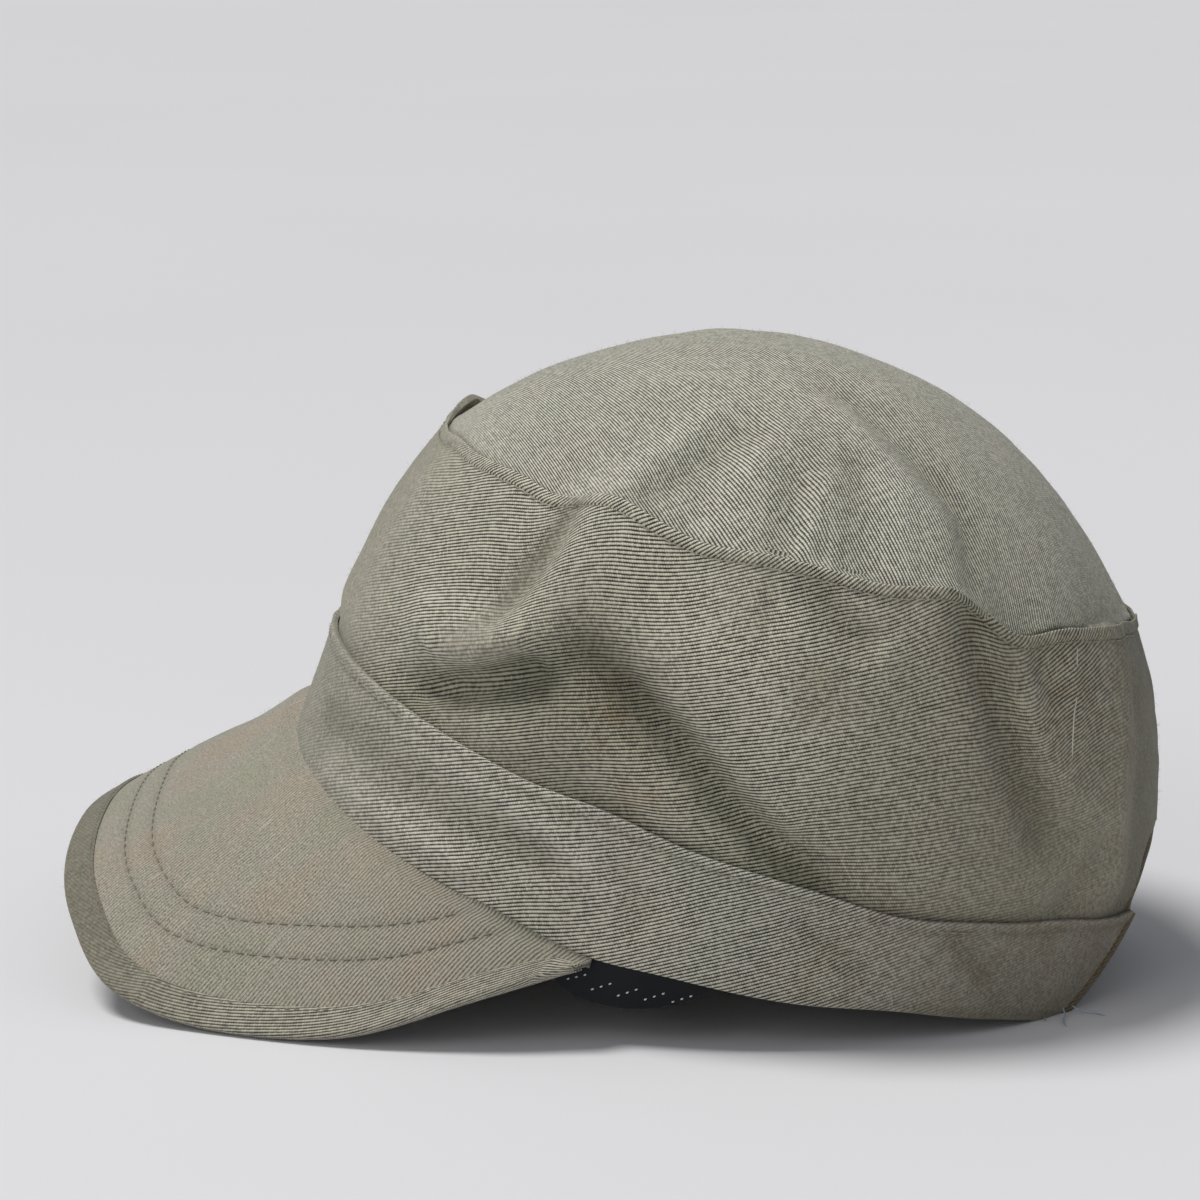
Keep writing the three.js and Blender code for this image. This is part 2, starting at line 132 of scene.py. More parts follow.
WALL_CREASES = [
    (1.9, 2.8, [(43, 0.08), (51, 0.24), (60, 0.37)]),
    (-1.3, 2.6, [(45, 0.3), (52, 0.35), (58, 0.46)]),
    (1.2, 2.4, [(57, 1.0), (55.5, 0.75), (53, 0.5)]),
    (-0.5, 2.8, [(61, 0.96), (60, 0.74)]),
    (1.5, 3.0, [(74, 0.44), (82, 0.34), (91, 0.18), (101, 0.05)]),
    (-0.9, 3.4, [(82, 0.5), (90, 0.36), (98, 0.2)]),
    (0.7, 3.0, [(70, 0.02), (80, 0.03)]),
    (1.0, 2.2, [(98, 0.93), (102, 0.83), (106, 0.84)]),
    (-0.9, 2.6, [(94, 0.82), (100, 0.73)]),
    (-0.8, 2.6, [(104, 0.94), (108, 0.8)]),
    (0.9, 2.6, [(90, 0.98), (91, 0.8)]),
    (1.0, 2.8, [(128, 0.96), (130, 0.7), (135, 0.48)]),
    (0.9, 2.4, [(135, 0.92), (137, 0.8)]),
    (-0.6, 2.6, [(142, 0.9), (143, 0.62)]),
    (0.8, 3.0, [(151, 0.3), (141, 0.02)]),
    (-0.5, 2.4, [(158.5, 0.94), (153, 0.5), (155.5, 0.05)]),
    (-1.3, 14.0, [(180, 0.12), (180, 0.6)]),
    (-1.3, 14.0, [(-180, 0.12), (-180, 0.6)]),
    (0.9, 3.2, [(-30, 0.9), (-36, 0.6), (-34, 0.35)]),
    (1.0, 3.4, [(-62, 0.75), (-70, 0.45), (-66, 0.15)]),
    (0.9, 3.0, [(-120, 0.95), (-126, 0.6)]),
    (-0.8, 4.0, [(-84, 0.9), (-88, 0.5)]),
    (0.9, 3.2, [(-150, 0.5), (-138, 0.25)]),
    (-0.4, 1.0, [(-158, 0.94), (-154, 0.5), (-156, 0.05)]),
]

# Folds of the band, with levels from its lower edge to its upper edge
BAND_CREASES = [
    (1.3, 3.6, [(24, 0.5), (34, 0.56), (44, 0.56), (54, 0.5), (70, 0.5)]),
    (-0.8, 3.2, [(44, 0.86), (60, 0.84), (73, 0.64), (80, 0.48)]),
    (-1.0, 3.0, [(30, 0.2), (60, 0.2)]),
    (1.0, 3.2, [(80, 0.62), (84, 0.4)]),
    (0.9, 3.0, [(104, 0.7), (112, 0.4)]),
    (1.0, 3.6, [(124, 0.85), (131, 0.45)]),
    (1.0, 3.6, [(-40, 0.6), (-70, 0.45)]),
    (0.9, 3.2, [(-100, 0.8), (-112, 0.3)]),
]

# Folds of the top panel, with places in plan
TOP_FOLDS = [
    (1.8, 6, [(30, 2), (38, 15), (46, 28), (50, 36), (63, 41)]),
    (-1.2, 6, [(36, 2), (46, 12), (54, 24)]),
    (1.8, 5, [(50, -17), (62, -26), (71, -36)]),
    (1.2, 5, [(58, -2), (78, -4)]),
]
TOP_CREASES = [
    (0.9, 2.8, [(44, 26), (49, 35), (63, 40)]),
    (-1.1, 3.6, [(47, -26), (64, -39)]),
    (0.7, 2.6, [(56, -22), (66, -31)]),
    (0.9, 4.0, [(42, -59), (58, -50)]),
    (-0.9, 3.6, [(58, -12), (75, -16)]),
    (0.7, 2.4, [(62, -3), (78, -4)]),
    (-0.9, 2.8, [(60, 3), (76, 3)]),
    (1.2, 4.2, [(53, 9), (74, 15)]),
    (-0.9, 3.6, [(57, 20), (74, 24)]),
    (0.8, 1.8, [(72, 0), (79, -1)]),
    (0.8, 1.8, [(72, 6), (79, 6)]),
    (0.6, 4.0, [(-20, 20), (-50, 26)]),
    (-0.8, 4.0, [(-66, -22), (-44, -30)]),
    (0.8, 4.0, [(-60, -6), (-74, -4)]),
]

# Faint brown stains of the side wall: angle, level and reach in mm
WALL_STAINS = [(73, 0.33, 7), (79.5, 0.11, 6), (99.5, 0.64, 5), (121, 0.83, 6), (141, 0.77, 5)]

# Stitched rows of the peak: distances from its outer edge at the front and at the sides, in mm
PEAK_ROWS = ((15.5, 20.0), (22.5, 29.5))

# The raised part of the top panel behind the middle of the front: height in mm, reach in degrees,
# and where it is highest and how far it reaches, as shares of the panel's radius
TOP_RAISED = 2.3
TOP_RAISED_REACH = 34
TOP_RAISED_AT = 0.86
TOP_RAISED_ACROSS = 0.17

# How much higher the peak's cloth is at the middle of its root, and how far that reaches in degrees
ROOT_RAISED = 4.4
ROOT_RAISED_REACH = 44

# Rows of the side wall near its top edge, in mm below it, where the cloth folds over the seam
SEAM_FOLD_ROWS = (2.3, 2.0, 1.5, 0.9, 0.4, 0.0)

# Lines on the side wall where the cloth is pulled and its ribs spread, with their reach in mm
STRETCHED = [(3.4, [(57, 0.98), (55, 0.72), (52, 0.46)]), (4.0, [(48, 0.36), (57, 0.42)])]

# How many mm one degree and one level of a fold table are on each cloth
WALL_SCALE = (1.5, 62)
BAND_SCALE = (1.6, 28)
PLAN_SCALE = (1, 1)

# Stitches in mm: pitch of the peak's rows and of the row in its binding, how much of the pitch one
# stitch takes up, and thickness on the peak and on the crown and band
ROW_PITCH = 3.3
BINDING_PITCH = 2.3
STITCH_SHARE = 0.78
PEAK_STITCH_THICK = 0.5
CROWN_STITCH_THICK = 0.34

# Directions of the ribs on each cloth, in degrees
WALL_RIBS = 22
SEAM_FOLD_RIBS = 42
TOP_RIBS = 48
BAND_RIBS = 29
PEAK_RIBS = -52
HEM_RIBS = 30

# The ribs' spacing in mm, and how much a mark of shade darkens the cloth
RIB_PITCH = 0.84
SHADE_STEP = 0.38

# First guess of the angle at which a strip ends at the arch, and how far its columns stay even
STRIP_END = 150
STRIP_EVEN_TO = 140
STRIP_EVEN_SHARE = 0.8

# Columns and rows of the grids of points that the pieces are swept through
WALL_COLUMNS = 520
WALL_ROWS = 68
DOME_COLUMNS = 320
DOME_ROWS = 54
BAND_COLUMNS = 460
BAND_ROWS = 24
PEAK_COLUMNS = 220
PEAK_ROWS_ACROSS = 52
SWEATBAND_COLUMNS = 360
SWEATBAND_ROWS = 14
HEM_COLUMNS = 170

# Columns at each end of the peak that share one outward direction
PEAK_END_COLUMNS = 5

# Height in mm at which the length round the sweatband is taken
SWEATBAND_MIDDLE = 10.0

# Edges flatter than this are smooth, in degrees: on cloth, and on stitches and threads
CLOTH_SMOOTHING = 50
THREAD_SMOOTHING = 80

# Rounds in which a strip's ends are fitted to the arch
FITTING_ROUNDS = 3


def cosd(angle):
    return np.cos(np.radians(angle))


def sind(angle):
    return np.sin(np.radians(angle))


def mix(a, b, share):
    return a + (b - a) * share


def smoothstep(value, low, high):
    """A soft step from 0 at low to 1 at high."""
    share = np.clip((value - low) / (high - low), 0, 1)
    return share * share * (3 - 2 * share)


def bell(offset, reach):
    """1 in the middle, about a third at reach on both sides, and nearly 0 at twice reach."""
    return np.exp(-((offset / reach) ** 2))


def waves(table, angle):
    return sum(lift * bell(angle - at, reach) for at, lift, reach in table)


def distance_to_line(x, y, places, scale_x, scale_y):
    """Distance in mm from places on a surface to a line of straight stretches on it."""
    nearest = np.full(np.broadcast(x, y).shape, 1e9)
    for (ax, ay), (bx, by) in zip(places, places[1:]):
        dx, dy = (bx - ax) * scale_x, (by - ay) * scale_y
        px, py = (x - ax) * scale_x, (y - ay) * scale_y
        share = np.clip((px * dx + py * dy) / (dx * dx + dy * dy), 0, 1)
        nearest = np.minimum(nearest, np.hypot(px - share * dx, py - share * dy))
    return nearest


def fold_depth(table, scale_x, scale_y, x, y):
    """Depth in mm of all folds of a table at places on a surface."""
    return sum(
        depth * bell(distance_to_line(x, y, places, scale_x, scale_y), reach)
        for depth, reach, places in table
    )


def rumple(x, y, size, seed):
    """Smooth random heights from -1 to 1 over a surface, with bumps about as wide as size."""
    cells, middle = 64, 400.5
    lattice = np.random.RandomState(seed).uniform(-1, 1, (cells, cells))
    u, v = x / size + middle, y / size + middle
    iu, iv = np.floor(u).astype(int), np.floor(v).astype(int)
    fu, fv = smoothstep(u - iu, 0, 1), smoothstep(v - iv, 0, 1)

    def corner(a, b):
        return lattice[(iu + a) % cells, (iv + b) % cells]

    low = mix(corner(0, 0), corner(1, 0), fu)
    high = mix(corner(0, 1), corner(1, 1), fu)
    return mix(low, high, fv)


def point(x, y, z):
    x, y, z = np.broadcast_arrays(x, y, z)
    return np.stack([x, y, z], -1).astype(float)


def oval(angle, half_width, half_length, shift, z):
    return point(half_width * sind(angle), shift - half_length * cosd(angle), z)


def outwards(angle):
    return point(sind(angle), -cosd(angle), 0.0)


def band_bottom(angle):
    """Height of the band's lower edge."""
    return BAND_WAVE * cosd(2 * angle) + waves(BAND_BOTTOM_WAVES, abs(angle)) + waves(FRONT_LIFT, angle)


def band_top(angle):
    """Height of the band's upper edge, where the side wall comes out from behind it."""
    height = BAND_HEIGHT + BAND_FRONT_MORE * cosd(angle) - BAND_ENDS_LESS * cosd(2 * angle)
    return BAND_WAVE * cosd(2 * angle) + height + waves(BAND_TOP_WAVES, angle)


def seam_height(angle):
    """Height of the seam between side wall and top panel."""
    return SEAM_HEIGHT - SEAM_SIDES_MORE * cosd(2 * angle) + waves(SEAM_WAVES, angle)


def band_point(angle, z, inset):
    """The band's outer face at a height, moved inwards by inset."""
    share = (z - band_bottom(angle)) / (band_top(angle) - band_bottom(angle))
    half_width = HEAD_WIDTH / 2 + BAND_FLARE * share - inset
    half_length = HEAD_LENGTH / 2 - BAND_NARROWING * share - inset
    return oval(angle, half_width, half_length, BAND_TOP_SHIFT * share, z)


def wall_distance(angle, level, at_angle, at_level):
    """Distance in mm on the side wall from a place given as an angle and a level."""
    return np.hypot((angle - at_angle) * WALL_SCALE[0], (level - at_level) * WALL_SCALE[1])


def wall_point(angle, level, inset):
    """The side wall's outer face. Below level 0 it goes on down behind the band."""
    top = band_top(angle)
    up = np.maximum(level, 0)
    edge = seam_height(angle) + waves(WALL_EDGE_LIFTS, angle) * up ** 6
    z = mix(top, edge, up)
    low = band_point(angle, top, inset)
    high = oval(angle, SEAM_HALF_WIDTH - inset, SEAM_HALF_LENGTH - inset, SEAM_SHIFT, z)
    rise = up ** SWELL_POWER
    ends = np.where(cosd(angle) > 0, SWELL_FRONT, SWELL_BACK)
    swell = (ends * abs(cosd(angle)) + SWELL_SIDE * sind(angle) ** 2) * 4 * rise * (1 - rise)
    step = smoothstep(up, 0, 0.16)
    folds = fold_depth(WALL_FOLDS, *WALL_SCALE, angle, up) * step
    proud = swell - (BAND_THICK + GAP) * (1 - step) - folds
    wall = mix(low, high, up[..., None])
    wall[..., 2] = z
    wall += outwards(angle) * proud[..., None]
    tucked_z = top + level * (seam_height(angle) - top)
    tucked = band_point(angle, tucked_z, BAND_THICK + GAP + inset)
    return np.where((level < 0)[..., None], tucked, wall)


def dome_point(angle, radius, inset):
    """The top panel's outer face, with radius 0 at its middle and 1 at its seam."""
    behind = BACK_LEDGE_DEPTH * smoothstep(angle, 128, 146) * (1 - smoothstep(angle, 162, 178))
    rim = inset * 1.2 + (behind + waves(FRONT_LEDGE, angle)) * radius ** 6
    edge = oval(angle, SEAM_HALF_WIDTH - rim, SEAM_HALF_LENGTH - rim, SEAM_SHIFT, 0.0)
    x = edge[..., 0] * radius
    y = mix(DOME_CENTRE, edge[..., 1], radius)
    sides = SEAM_SIDES_MORE * cosd(2 * angle) * radius ** 2
    base = SEAM_HEIGHT - sides + waves(SEAM_WAVES, angle) * radius ** 8 + GAP
    roundness = mix(DOME_ROUND_FRONT, DOME_ROUND_BACK, (1 - cosd(angle)) / 2)
    rise = (DOME_RISE - inset) * np.maximum(1 - radius ** roundness, 0) ** (1 / DOME_FULLNESS)
    raised = bell(angle, TOP_RAISED_REACH) * bell(radius - TOP_RAISED_AT, TOP_RAISED_ACROSS)
    rise = rise + TOP_RAISED * raised
    folds = fold_depth(TOP_FOLDS, *PLAN_SCALE, x, y) * (1 - radius ** 6)
    return point(x, y, base + rise - folds)


def smooth_line(places, count, even=False):
    """Points on a smooth curve through places, evenly spaced along it if asked."""
    nodes = np.array(places, float)
    before = np.vstack([2 * nodes[0] - nodes[1], nodes, 2 * nodes[-1] - nodes[-2]])
    fine = np.linspace(0, len(nodes) - 1, count if not even else 4000)
    i = np.minimum(fine.astype(int), len(nodes) - 2)
    t = (fine - i)[:, None]
    a, b, c, d = before[i], before[i + 1], before[i + 2], before[i + 3]
    bend, twist = 2 * a - 5 * b + 4 * c - d, 3 * b - a - 3 * c + d
    curve = 0.5 * (2 * b + (c - a) * t + bend * t ** 2 + twist * t ** 3)
    if not even:
        return curve
    length = np.concatenate([[0], np.cumsum(np.linalg.norm(np.diff(curve, axis=0), axis=1))])
    stops = np.linspace(0, length[-1], count)
    return np.stack([np.interp(stops, length, curve[:, k]) for k in range(curve.shape[1])], -1)


def unit(vectors):
    return vectors / np.maximum(np.linalg.norm(vectors, axis=-1, keepdims=True), 1e-9)


def run_length(points, axis):
    """Distance along a grid of points in one direction, starting at 0."""
    steps = np.linalg.norm(np.diff(points, axis=axis), axis=-1)
    start = np.zeros_like(np.take(steps, [0], axis))
    return np.concatenate([start, np.cumsum(steps, axis)], axis)


def placed(points):
    """Points of the cap's own frame, moved to where the cap rests, in metres."""
    x, y, z = np.moveaxis(np.asarray(points, float), -1, 0)
    up = z * math.cos(LEAN) - y * math.sin(LEAN) + REST_Z
    back = y * math.cos(LEAN) + z * math.sin(LEAN) + REST_Y
    return np.stack([x, back, np.maximum(up, 0)], -1) / 1000


def turned(along, across, degrees):
    """Cloth coordinates with the ribs turned from the first direction by an angle."""
    c, s = math.cos(math.radians(degrees)), math.sin(math.radians(degrees))
    return np.stack([along * c + across * s, across * c - along * s], -1)


def add_object(name, data):
    """A new object of the scene that shows a mesh, a light or a camera."""
    added = bpy.data.objects.new(name, data)
    bpy.context.scene.collection.objects.link(added)
    return added


def on_both_faces(mark, start=0, middle=0, end=0):
    """A mark's rows over an outer face and back over the inner one, with rows repeated at the edges."""
    first, last = mark[:, :1], mark[:, -1:]
    parts = [np.repeat(first, start, 1), mark, np.repeat(last, middle, 1), mark[:, ::-1]]
    return np.concatenate([*parts, np.repeat(first, end, 1)], 1)


def make_piece(name, loops, maps, closed, marks=None, fold=None):
    """A closed piece swept through loops of points: columns by rows. maps holds cloth coordinates in mm
    and has one row more than loops, and one column more where the piece closes on itself. fold is
    another such map with the first and last rows of a fold that has its own rib direction."""
    columns, rows = loops.shape[:2]
    index = np.arange(columns * rows).reshape(columns, rows)
    spans = columns if closed else columns - 1
    i, j = np.meshgrid(np.arange(spans), np.arange(rows), indexing="ij")
    ni, nj = (i + 1) % columns, (j + 1) % rows
    faces = np.stack([index[i, j], index[ni, j], index[ni, nj], index[i, nj]], -1).reshape(-1, 4)

    def quads(values):
        square = [values[i, j], values[i + 1, j], values[i + 1, j + 1], values[i, j + 1]]
        return np.stack(square, 2).reshape(-1, 4, 2)

    corners = quads(maps)
    if fold:
        fold_maps, first, last = fold
        inside = ((j >= first) & (j < last)).reshape(-1, 1, 1)
        corners = np.where(inside, quads(fold_maps), corners)
    if not closed:
        j = np.arange(rows // 2 - 1)
        for column, order in ((0, 1), (columns - 1, -1)):
            quad = np.stack([j, rows - 1 - j, rows - 2 - j, j + 1], -1)[:, ::order]
            faces = np.vstack([faces, index[column][quad]])
            corners = np.concatenate([corners, maps[column][quad]])
    mesh = bpy.data.meshes.new(name)
    mesh.from_pydata(placed(loops).reshape(-1, 3).tolist(), [], faces.tolist())
    layer = mesh.uv_layers.new(name="cloth")
    layer.data.foreach_set("uv", corners.reshape(-1))
    for mark, values in (marks or {}).items():
        attribute = mesh.attributes.new(mark, "FLOAT", "POINT")
        spread_out = np.broadcast_to(values, (columns, rows)).reshape(-1)
        attribute.data.foreach_set("value", spread_out.astype(np.float32))
    tidy = bmesh.new()
    tidy.from_mesh(mesh)
    bmesh.ops.remove_doubles(tidy, verts=tidy.verts, dist=2e-6)
    bmesh.ops.dissolve_degenerate(tidy, edges=tidy.edges, dist=1e-7)
    bmesh.ops.recalc_face_normals(tidy, faces=tidy.faces)
    tidy.to_mesh(mesh)
    tidy.free()
    piece = add_object(name, mesh)
    smooth_piece(piece, CLOTH_SMOOTHING)
    return piece


def smooth_piece(piece, degrees):
    """Smooth shading, except over edges sharper than an angle."""
    bpy.ops.object.select_all(action="DESELECT")
    piece.select_set(True)
    bpy.context.view_layer.objects.active = piece
    bpy.ops.object.shade_smooth_by_angle(angle=math.radians(degrees))


def finish_piece(piece, material, slot, *nodes):
    """Gives a piece its material and its body, and hides the solids that it replaces. slot is not used."""
    piece.data.materials.clear()
    piece.data.materials.append(material)
    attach(piece, "root")
    if nodes:
        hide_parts(*nodes)
    return piece


def grid_normals(points, wrap):
    """Outward directions at a grid of surface points, columns by rows."""
    if wrap:
        along = np.roll(points, -1, 0) - np.roll(points, 1, 0)
    else:
        along = np.gradient(points, axis=0)
    up = np.gradient(points, axis=1)
    return unit(np.cross(along, up))


class Number:
    """A number that changes over a surface. Arithmetic on it adds the nodes that work it out."""

    def __init__(self, finish, socket):
        self.finish = finish
        self.socket = socket

    def math(self, operation, *others):
        return self.finish.add("ShaderNodeMath", {"operation": operation}, [self, *others])

    def __add__(self, other):
        return self.math("ADD", other)

    __radd__ = __add__

    def __sub__(self, other):
        return self.math("SUBTRACT", other)

    def __rsub__(self, other):
        return self.finish.add("ShaderNodeMath", {"operation": "SUBTRACT"}, [other, self])

    def __mul__(self, other):
        return self.math("MULTIPLY", other)

    __rmul__ = __mul__

    def __pow__(self, other):
        return self.math("POWER", other)

    def whole(self):
        return self.math("FLOOR")

    def part(self):
        return self.math("FRACT")

    def size(self):
        return self.math("ABSOLUTE")

    def smooth(self, low, high, start=0.0, end=1.0):
        settings = {"interpolation_type": "SMOOTHSTEP"}
        return self.finish.add("ShaderNodeMapRange", settings, [self, low, high, start, end])


class Finish:
    """A node-based material, built up from measured places and patterns."""

    def __init__(self, name, roughness=0.9, sheen=0.0, specular=0.3):
        self.material = bpy.data.materials.new(name)
        self.material.use_nodes = True
        self.tree = self.material.node_tree
        self.shader = self.tree.nodes["Principled BSDF"]
        self.shader.inputs["Roughness"].default_value = roughness
        self.shader.inputs["Specular IOR Level"].default_value = specular
        self.shader.inputs["Sheen Weight"].default_value = sheen
        self.shader.inputs["Sheen Roughness"].default_value = 0.6

    def add(self, kind, settings=None, values=(), output=0):
        node = self.tree.nodes.new(kind)
        for setting, value in (settings or {}).items():
            if setting == "stops":
                self.set_stops(node.color_ramp, value)
            else:
                setattr(node, setting, value)
        pairs = values.items() if isinstance(values, dict) else enumerate(values)
        for socket, value in pairs:
            self.plug(value, node.inputs[socket])
        return Number(self, node.outputs[output])

    def set_stops(self, ramp, stops):
        while len(ramp.elements) < len(stops):
            ramp.elements.new(0.5)
        for element, (place, colour) in zip(ramp.elements, stops):
            element.position = place
            element.color = (*colour, 1)

    def plug(self, value, socket):
        if isinstance(value, Number):
            self.tree.links.new(value.socket, socket)
        elif socket.type == "RGBA":
            socket.default_value = (*value, 1)
        else:
            socket.default_value = value

    def cloth_place(self):
        """Along and across the ribs, in mm."""
        place = self.add("ShaderNodeUVMap", {"uv_map": "cloth"})
        split = self.add("ShaderNodeSeparateXYZ", values=[place])
        node = split.socket.node
        return Number(self, node.outputs[0]), Number(self, node.outputs[1])

    def mark(self, name):
        return self.add("ShaderNodeAttribute", {"attribute_name": name}, output=2)

    def object_place(self):
        return self.add("ShaderNodeTexCoord", output=3)

    def vector(self, x, y, z=0.0):
        return self.add("ShaderNodeCombineXYZ", values=[x, y, z])

    def noise(self, place, scale, detail=2.0, rough=0.5):
        values = {"Vector": place, "Scale": scale, "Detail": detail, "Roughness": rough}
        return self.add("ShaderNodeTexNoise", values=values)

    def speckle(self, x, y):
        return self.add("ShaderNodeTexWhiteNoise", {"noise_dimensions": "2D"}, {"Vector": self.vector(x, y)})

    def blend(self, low, high, share, mode="MIX"):
        settings = {"data_type": "RGBA", "blend_type": mode}
        return self.add("ShaderNodeMix", settings, {0: share, 6: low, 7: high}, output=2)

    def ramp(self, share, stops):
        return self.add("ShaderNodeValToRGB", {"stops": stops}, [share])

    def colour(self, value):
        self.plug(value, self.shader.inputs["Base Color"])

    def roughness(self, value):
        self.plug(value, self.shader.inputs["Roughness"])

    def relief(self, height, depth_mm, strength=1.0):
        values = {"Strength": strength, "Distance": depth_mm / 1000, "Height": height}
        bump = self.add("ShaderNodeBump", values=values)
        self.plug(bump, self.shader.inputs["Normal"])


def tone(red, green, blue):
    """A colour from its screen values, 0 to 255."""
    def linear(value):
        value /= 255
        return value / 12.92 if value <= 0.04045 else ((value + 0.055) / 1.055) ** 2.4
    return (linear(red), linear(green), linear(blue))


# Colours that a cloth is multiplied by
UNCHANGED = (1.0, 1.0, 1.0)
STAIN_TINT = (0.80, 0.64, 0.52)


def cloud_share(cloth, place):
    """A cloudy share for stains, so that they fade unevenly."""
    return cloth.noise(place, 160.0, 3.0).smooth(0.35, 0.7, 0.15, 0.75)


def twill(name, light, dark, pitch=RIB_PITCH):
    """Ribbed cotton twill: rounded ribs of short slanting floats, with uneven yarn and soft fading."""
    float_length, depth, patches = 0.62, 0.22, 0.5
    cloth = Finish(name, roughness=0.92, sheen=0.12, specular=0.2)
    along, across = cloth.cloth_place()
    place = cloth.object_place()
    sway = cloth.noise(place, 24.0, 1.0) - 0.5
    wander = cloth.noise(cloth.vector(along * 0.06, across * 0.12), 1.0, 2.0) - 0.5
    line = (across + sway * 1.4 + wander * 0.5) * (1 / pitch)
    row = line.whole()
    rib = (1 - (line.part() * 2 - 1).size()).smooth(0.08, 0.8)
    step = along * (1 / float_length) + row * 0.37
    thread = 1 - (step.part() * 2 - 1).size() ** 3.0
    fleck = cloth.speckle(row, step.whole())
    yarn = cloth.noise(cloth.vector(along * 0.16, row * 3.7), 1.0, 2.0)
    show = cloth.mark("ribs")
    rib_height = rib * (thread * 0.5 + 0.5)
    rib_light = rib_height * 1.1 + (fleck - 0.5) * 0.42 + (yarn - 0.5) * 0.35 - 0.03
    fuzz = cloth.noise(place, 1400.0, 2.0)
    plain = (fuzz - 0.5) * 0.55 + 0.47 + (fleck - 0.5) * 0.1
    share = (rib_light - plain) * show + plain
    share = share.smooth(-0.12, 1.12)
    base = cloth.blend(dark, light, share)
    patch = cloth.noise(place, 22.0, 3.0, 0.6)
    grey = cloth.noise(place, 55.0, 2.0)
    faded = cloth.ramp(patch, [(0.3, (0.86, 0.86, 0.84)), (0.5, UNCHANGED), (0.72, (1.12, 1.1, 1.09))])
    tinted = cloth.ramp(grey, [(0.32, (0.98, 1.0, 0.985)), (0.5, UNCHANGED), (0.7, (1.025, 0.99, 1.0))])
    slub = cloth.noise(cloth.vector(along * 2.4, across * 0.05), 1.0, 1.0).smooth(0.74, 0.8)
    base = cloth.blend(base, light, slub * 0.45)
    base = cloth.blend(base, faded, patches, "MULTIPLY")
    base = cloth.blend(base, tinted, 0.8, "MULTIPLY")
    stained = cloth.mark("stain") * cloud_share(cloth, place)
    base = cloth.blend(base, STAIN_TINT, stained, "MULTIPLY")
    # The shade mark paints shade and highlights into the colour: darker and a little yellower where it is
    # positive, lighter where it is negative
    shade = cloth.mark("shade")
    keep = 1 - shade * SHADE_STEP
    base = cloth.blend(base, cloth.vector(keep, keep, keep * (0.98 - shade * 0.07)), 1.0, "MULTIPLY")
    cloth.colour(base)
    height = rib_height * show + fuzz * 0.25 + fleck * 0.12
    cloth.relief(height, depth, 0.8)
    return cloth.material


def heathered(name, light, dark, rosy, green):
    """The peak's cover: fine matte cloth with soft rosy and green patches and a faint slanting rib."""
    cloth = Finish(name, roughness=0.95, sheen=0.15, specular=0.15)
    along, across = cloth.cloth_place()
    place = cloth.object_place()
    line = across * (1 / RIB_PITCH) + (cloth.noise(place, 24.0, 1.0) - 0.5) * 1.2
    rib = 1 - (line.part() * 2 - 1).size() ** 2.0
    show = cloth.mark("ribs")
    fuzz = cloth.noise(place, 1900.0, 3.0, 0.7)
    grain = cloth.noise(cloth.vector(along * 2.2, across * 4.5), 1.0, 2.0, 0.7)
    share = fuzz * 0.8 + grain * 0.75 + (rib - 0.5) * show * 0.8 - 0.3
    base = cloth.blend(dark, light, share.smooth(0.1, 0.95))
    patch = cloth.noise(cloth.vector(along * 0.035, across * 0.045), 1.0, 2.0, 0.6)
    tinted = cloth.ramp(patch, [(0.36, green), (0.5, UNCHANGED), (0.64, rosy)])
    base = cloth.blend(base, tinted, 1.0, "MULTIPLY")
    slub = cloth.noise(cloth.vector(along * 0.09, across * 1.5), 1.0, 1.0).smooth(0.68, 0.76)
    base = cloth.blend(base, light, slub * 0.6)
    # The shade mark paints shade into the colour
    keep = 1 - cloth.mark("shade") * SHADE_STEP
    base = cloth.blend(base, cloth.vector(keep, keep, keep * 0.98), 1.0, "MULTIPLY")
    cloth.colour(base)
    cloth.relief(fuzz * 0.6 + grain * 0.5 + rib * show * 0.5, 0.14, 0.7)
    return cloth.material


def leatherette(name):
    """Black coated cloth with a fine pebbled grain and a dull shine."""
    coat = Finish(name, roughness=0.55, specular=0.18)
    place = coat.object_place()
    values = {"Vector": place, "Scale": 900.0}
    pebble = coat.add("ShaderNodeTexVoronoi", {"feature": "SMOOTH_F1"}, values)
    cloud = coat.noise(place, 60.0, 3.0)
    coat.colour(coat.blend(tone(8, 10, 13), tone(19, 23, 28), cloud.smooth(0.3, 0.75)))
    coat.roughness(cloud * 0.25 + 0.38)
    coat.relief(pebble + cloud * 0.3, 0.08, 0.5)
    return coat.material


def thread(name, colour, other):
    """Sewing thread: twisted strands, a little uneven in colour."""
    yarn = Finish(name, roughness=0.7, sheen=0.1)
    place = yarn.object_place()
    yarn.colour(yarn.blend(colour, other, yarn.noise(place, 500.0, 2.0)))
    yarn.relief(yarn.noise(place, 2500.0, 2.0), 0.06, 0.6)
    return yarn.material


def painted_floor(name):
    """A pale matte studio floor with the slightest cloudiness."""
    floor = Finish(name, roughness=0.75, specular=0.25)
    place = floor.object_place()
    cloud = floor.noise(place, 1.4, 3.0)
    floor.colour(floor.blend(tone(212, 212, 215), tone(219, 219, 222), cloud))
    floor.relief(floor.noise(place, 260.0, 2.0), 0.1, 0.15)
    return floor.material


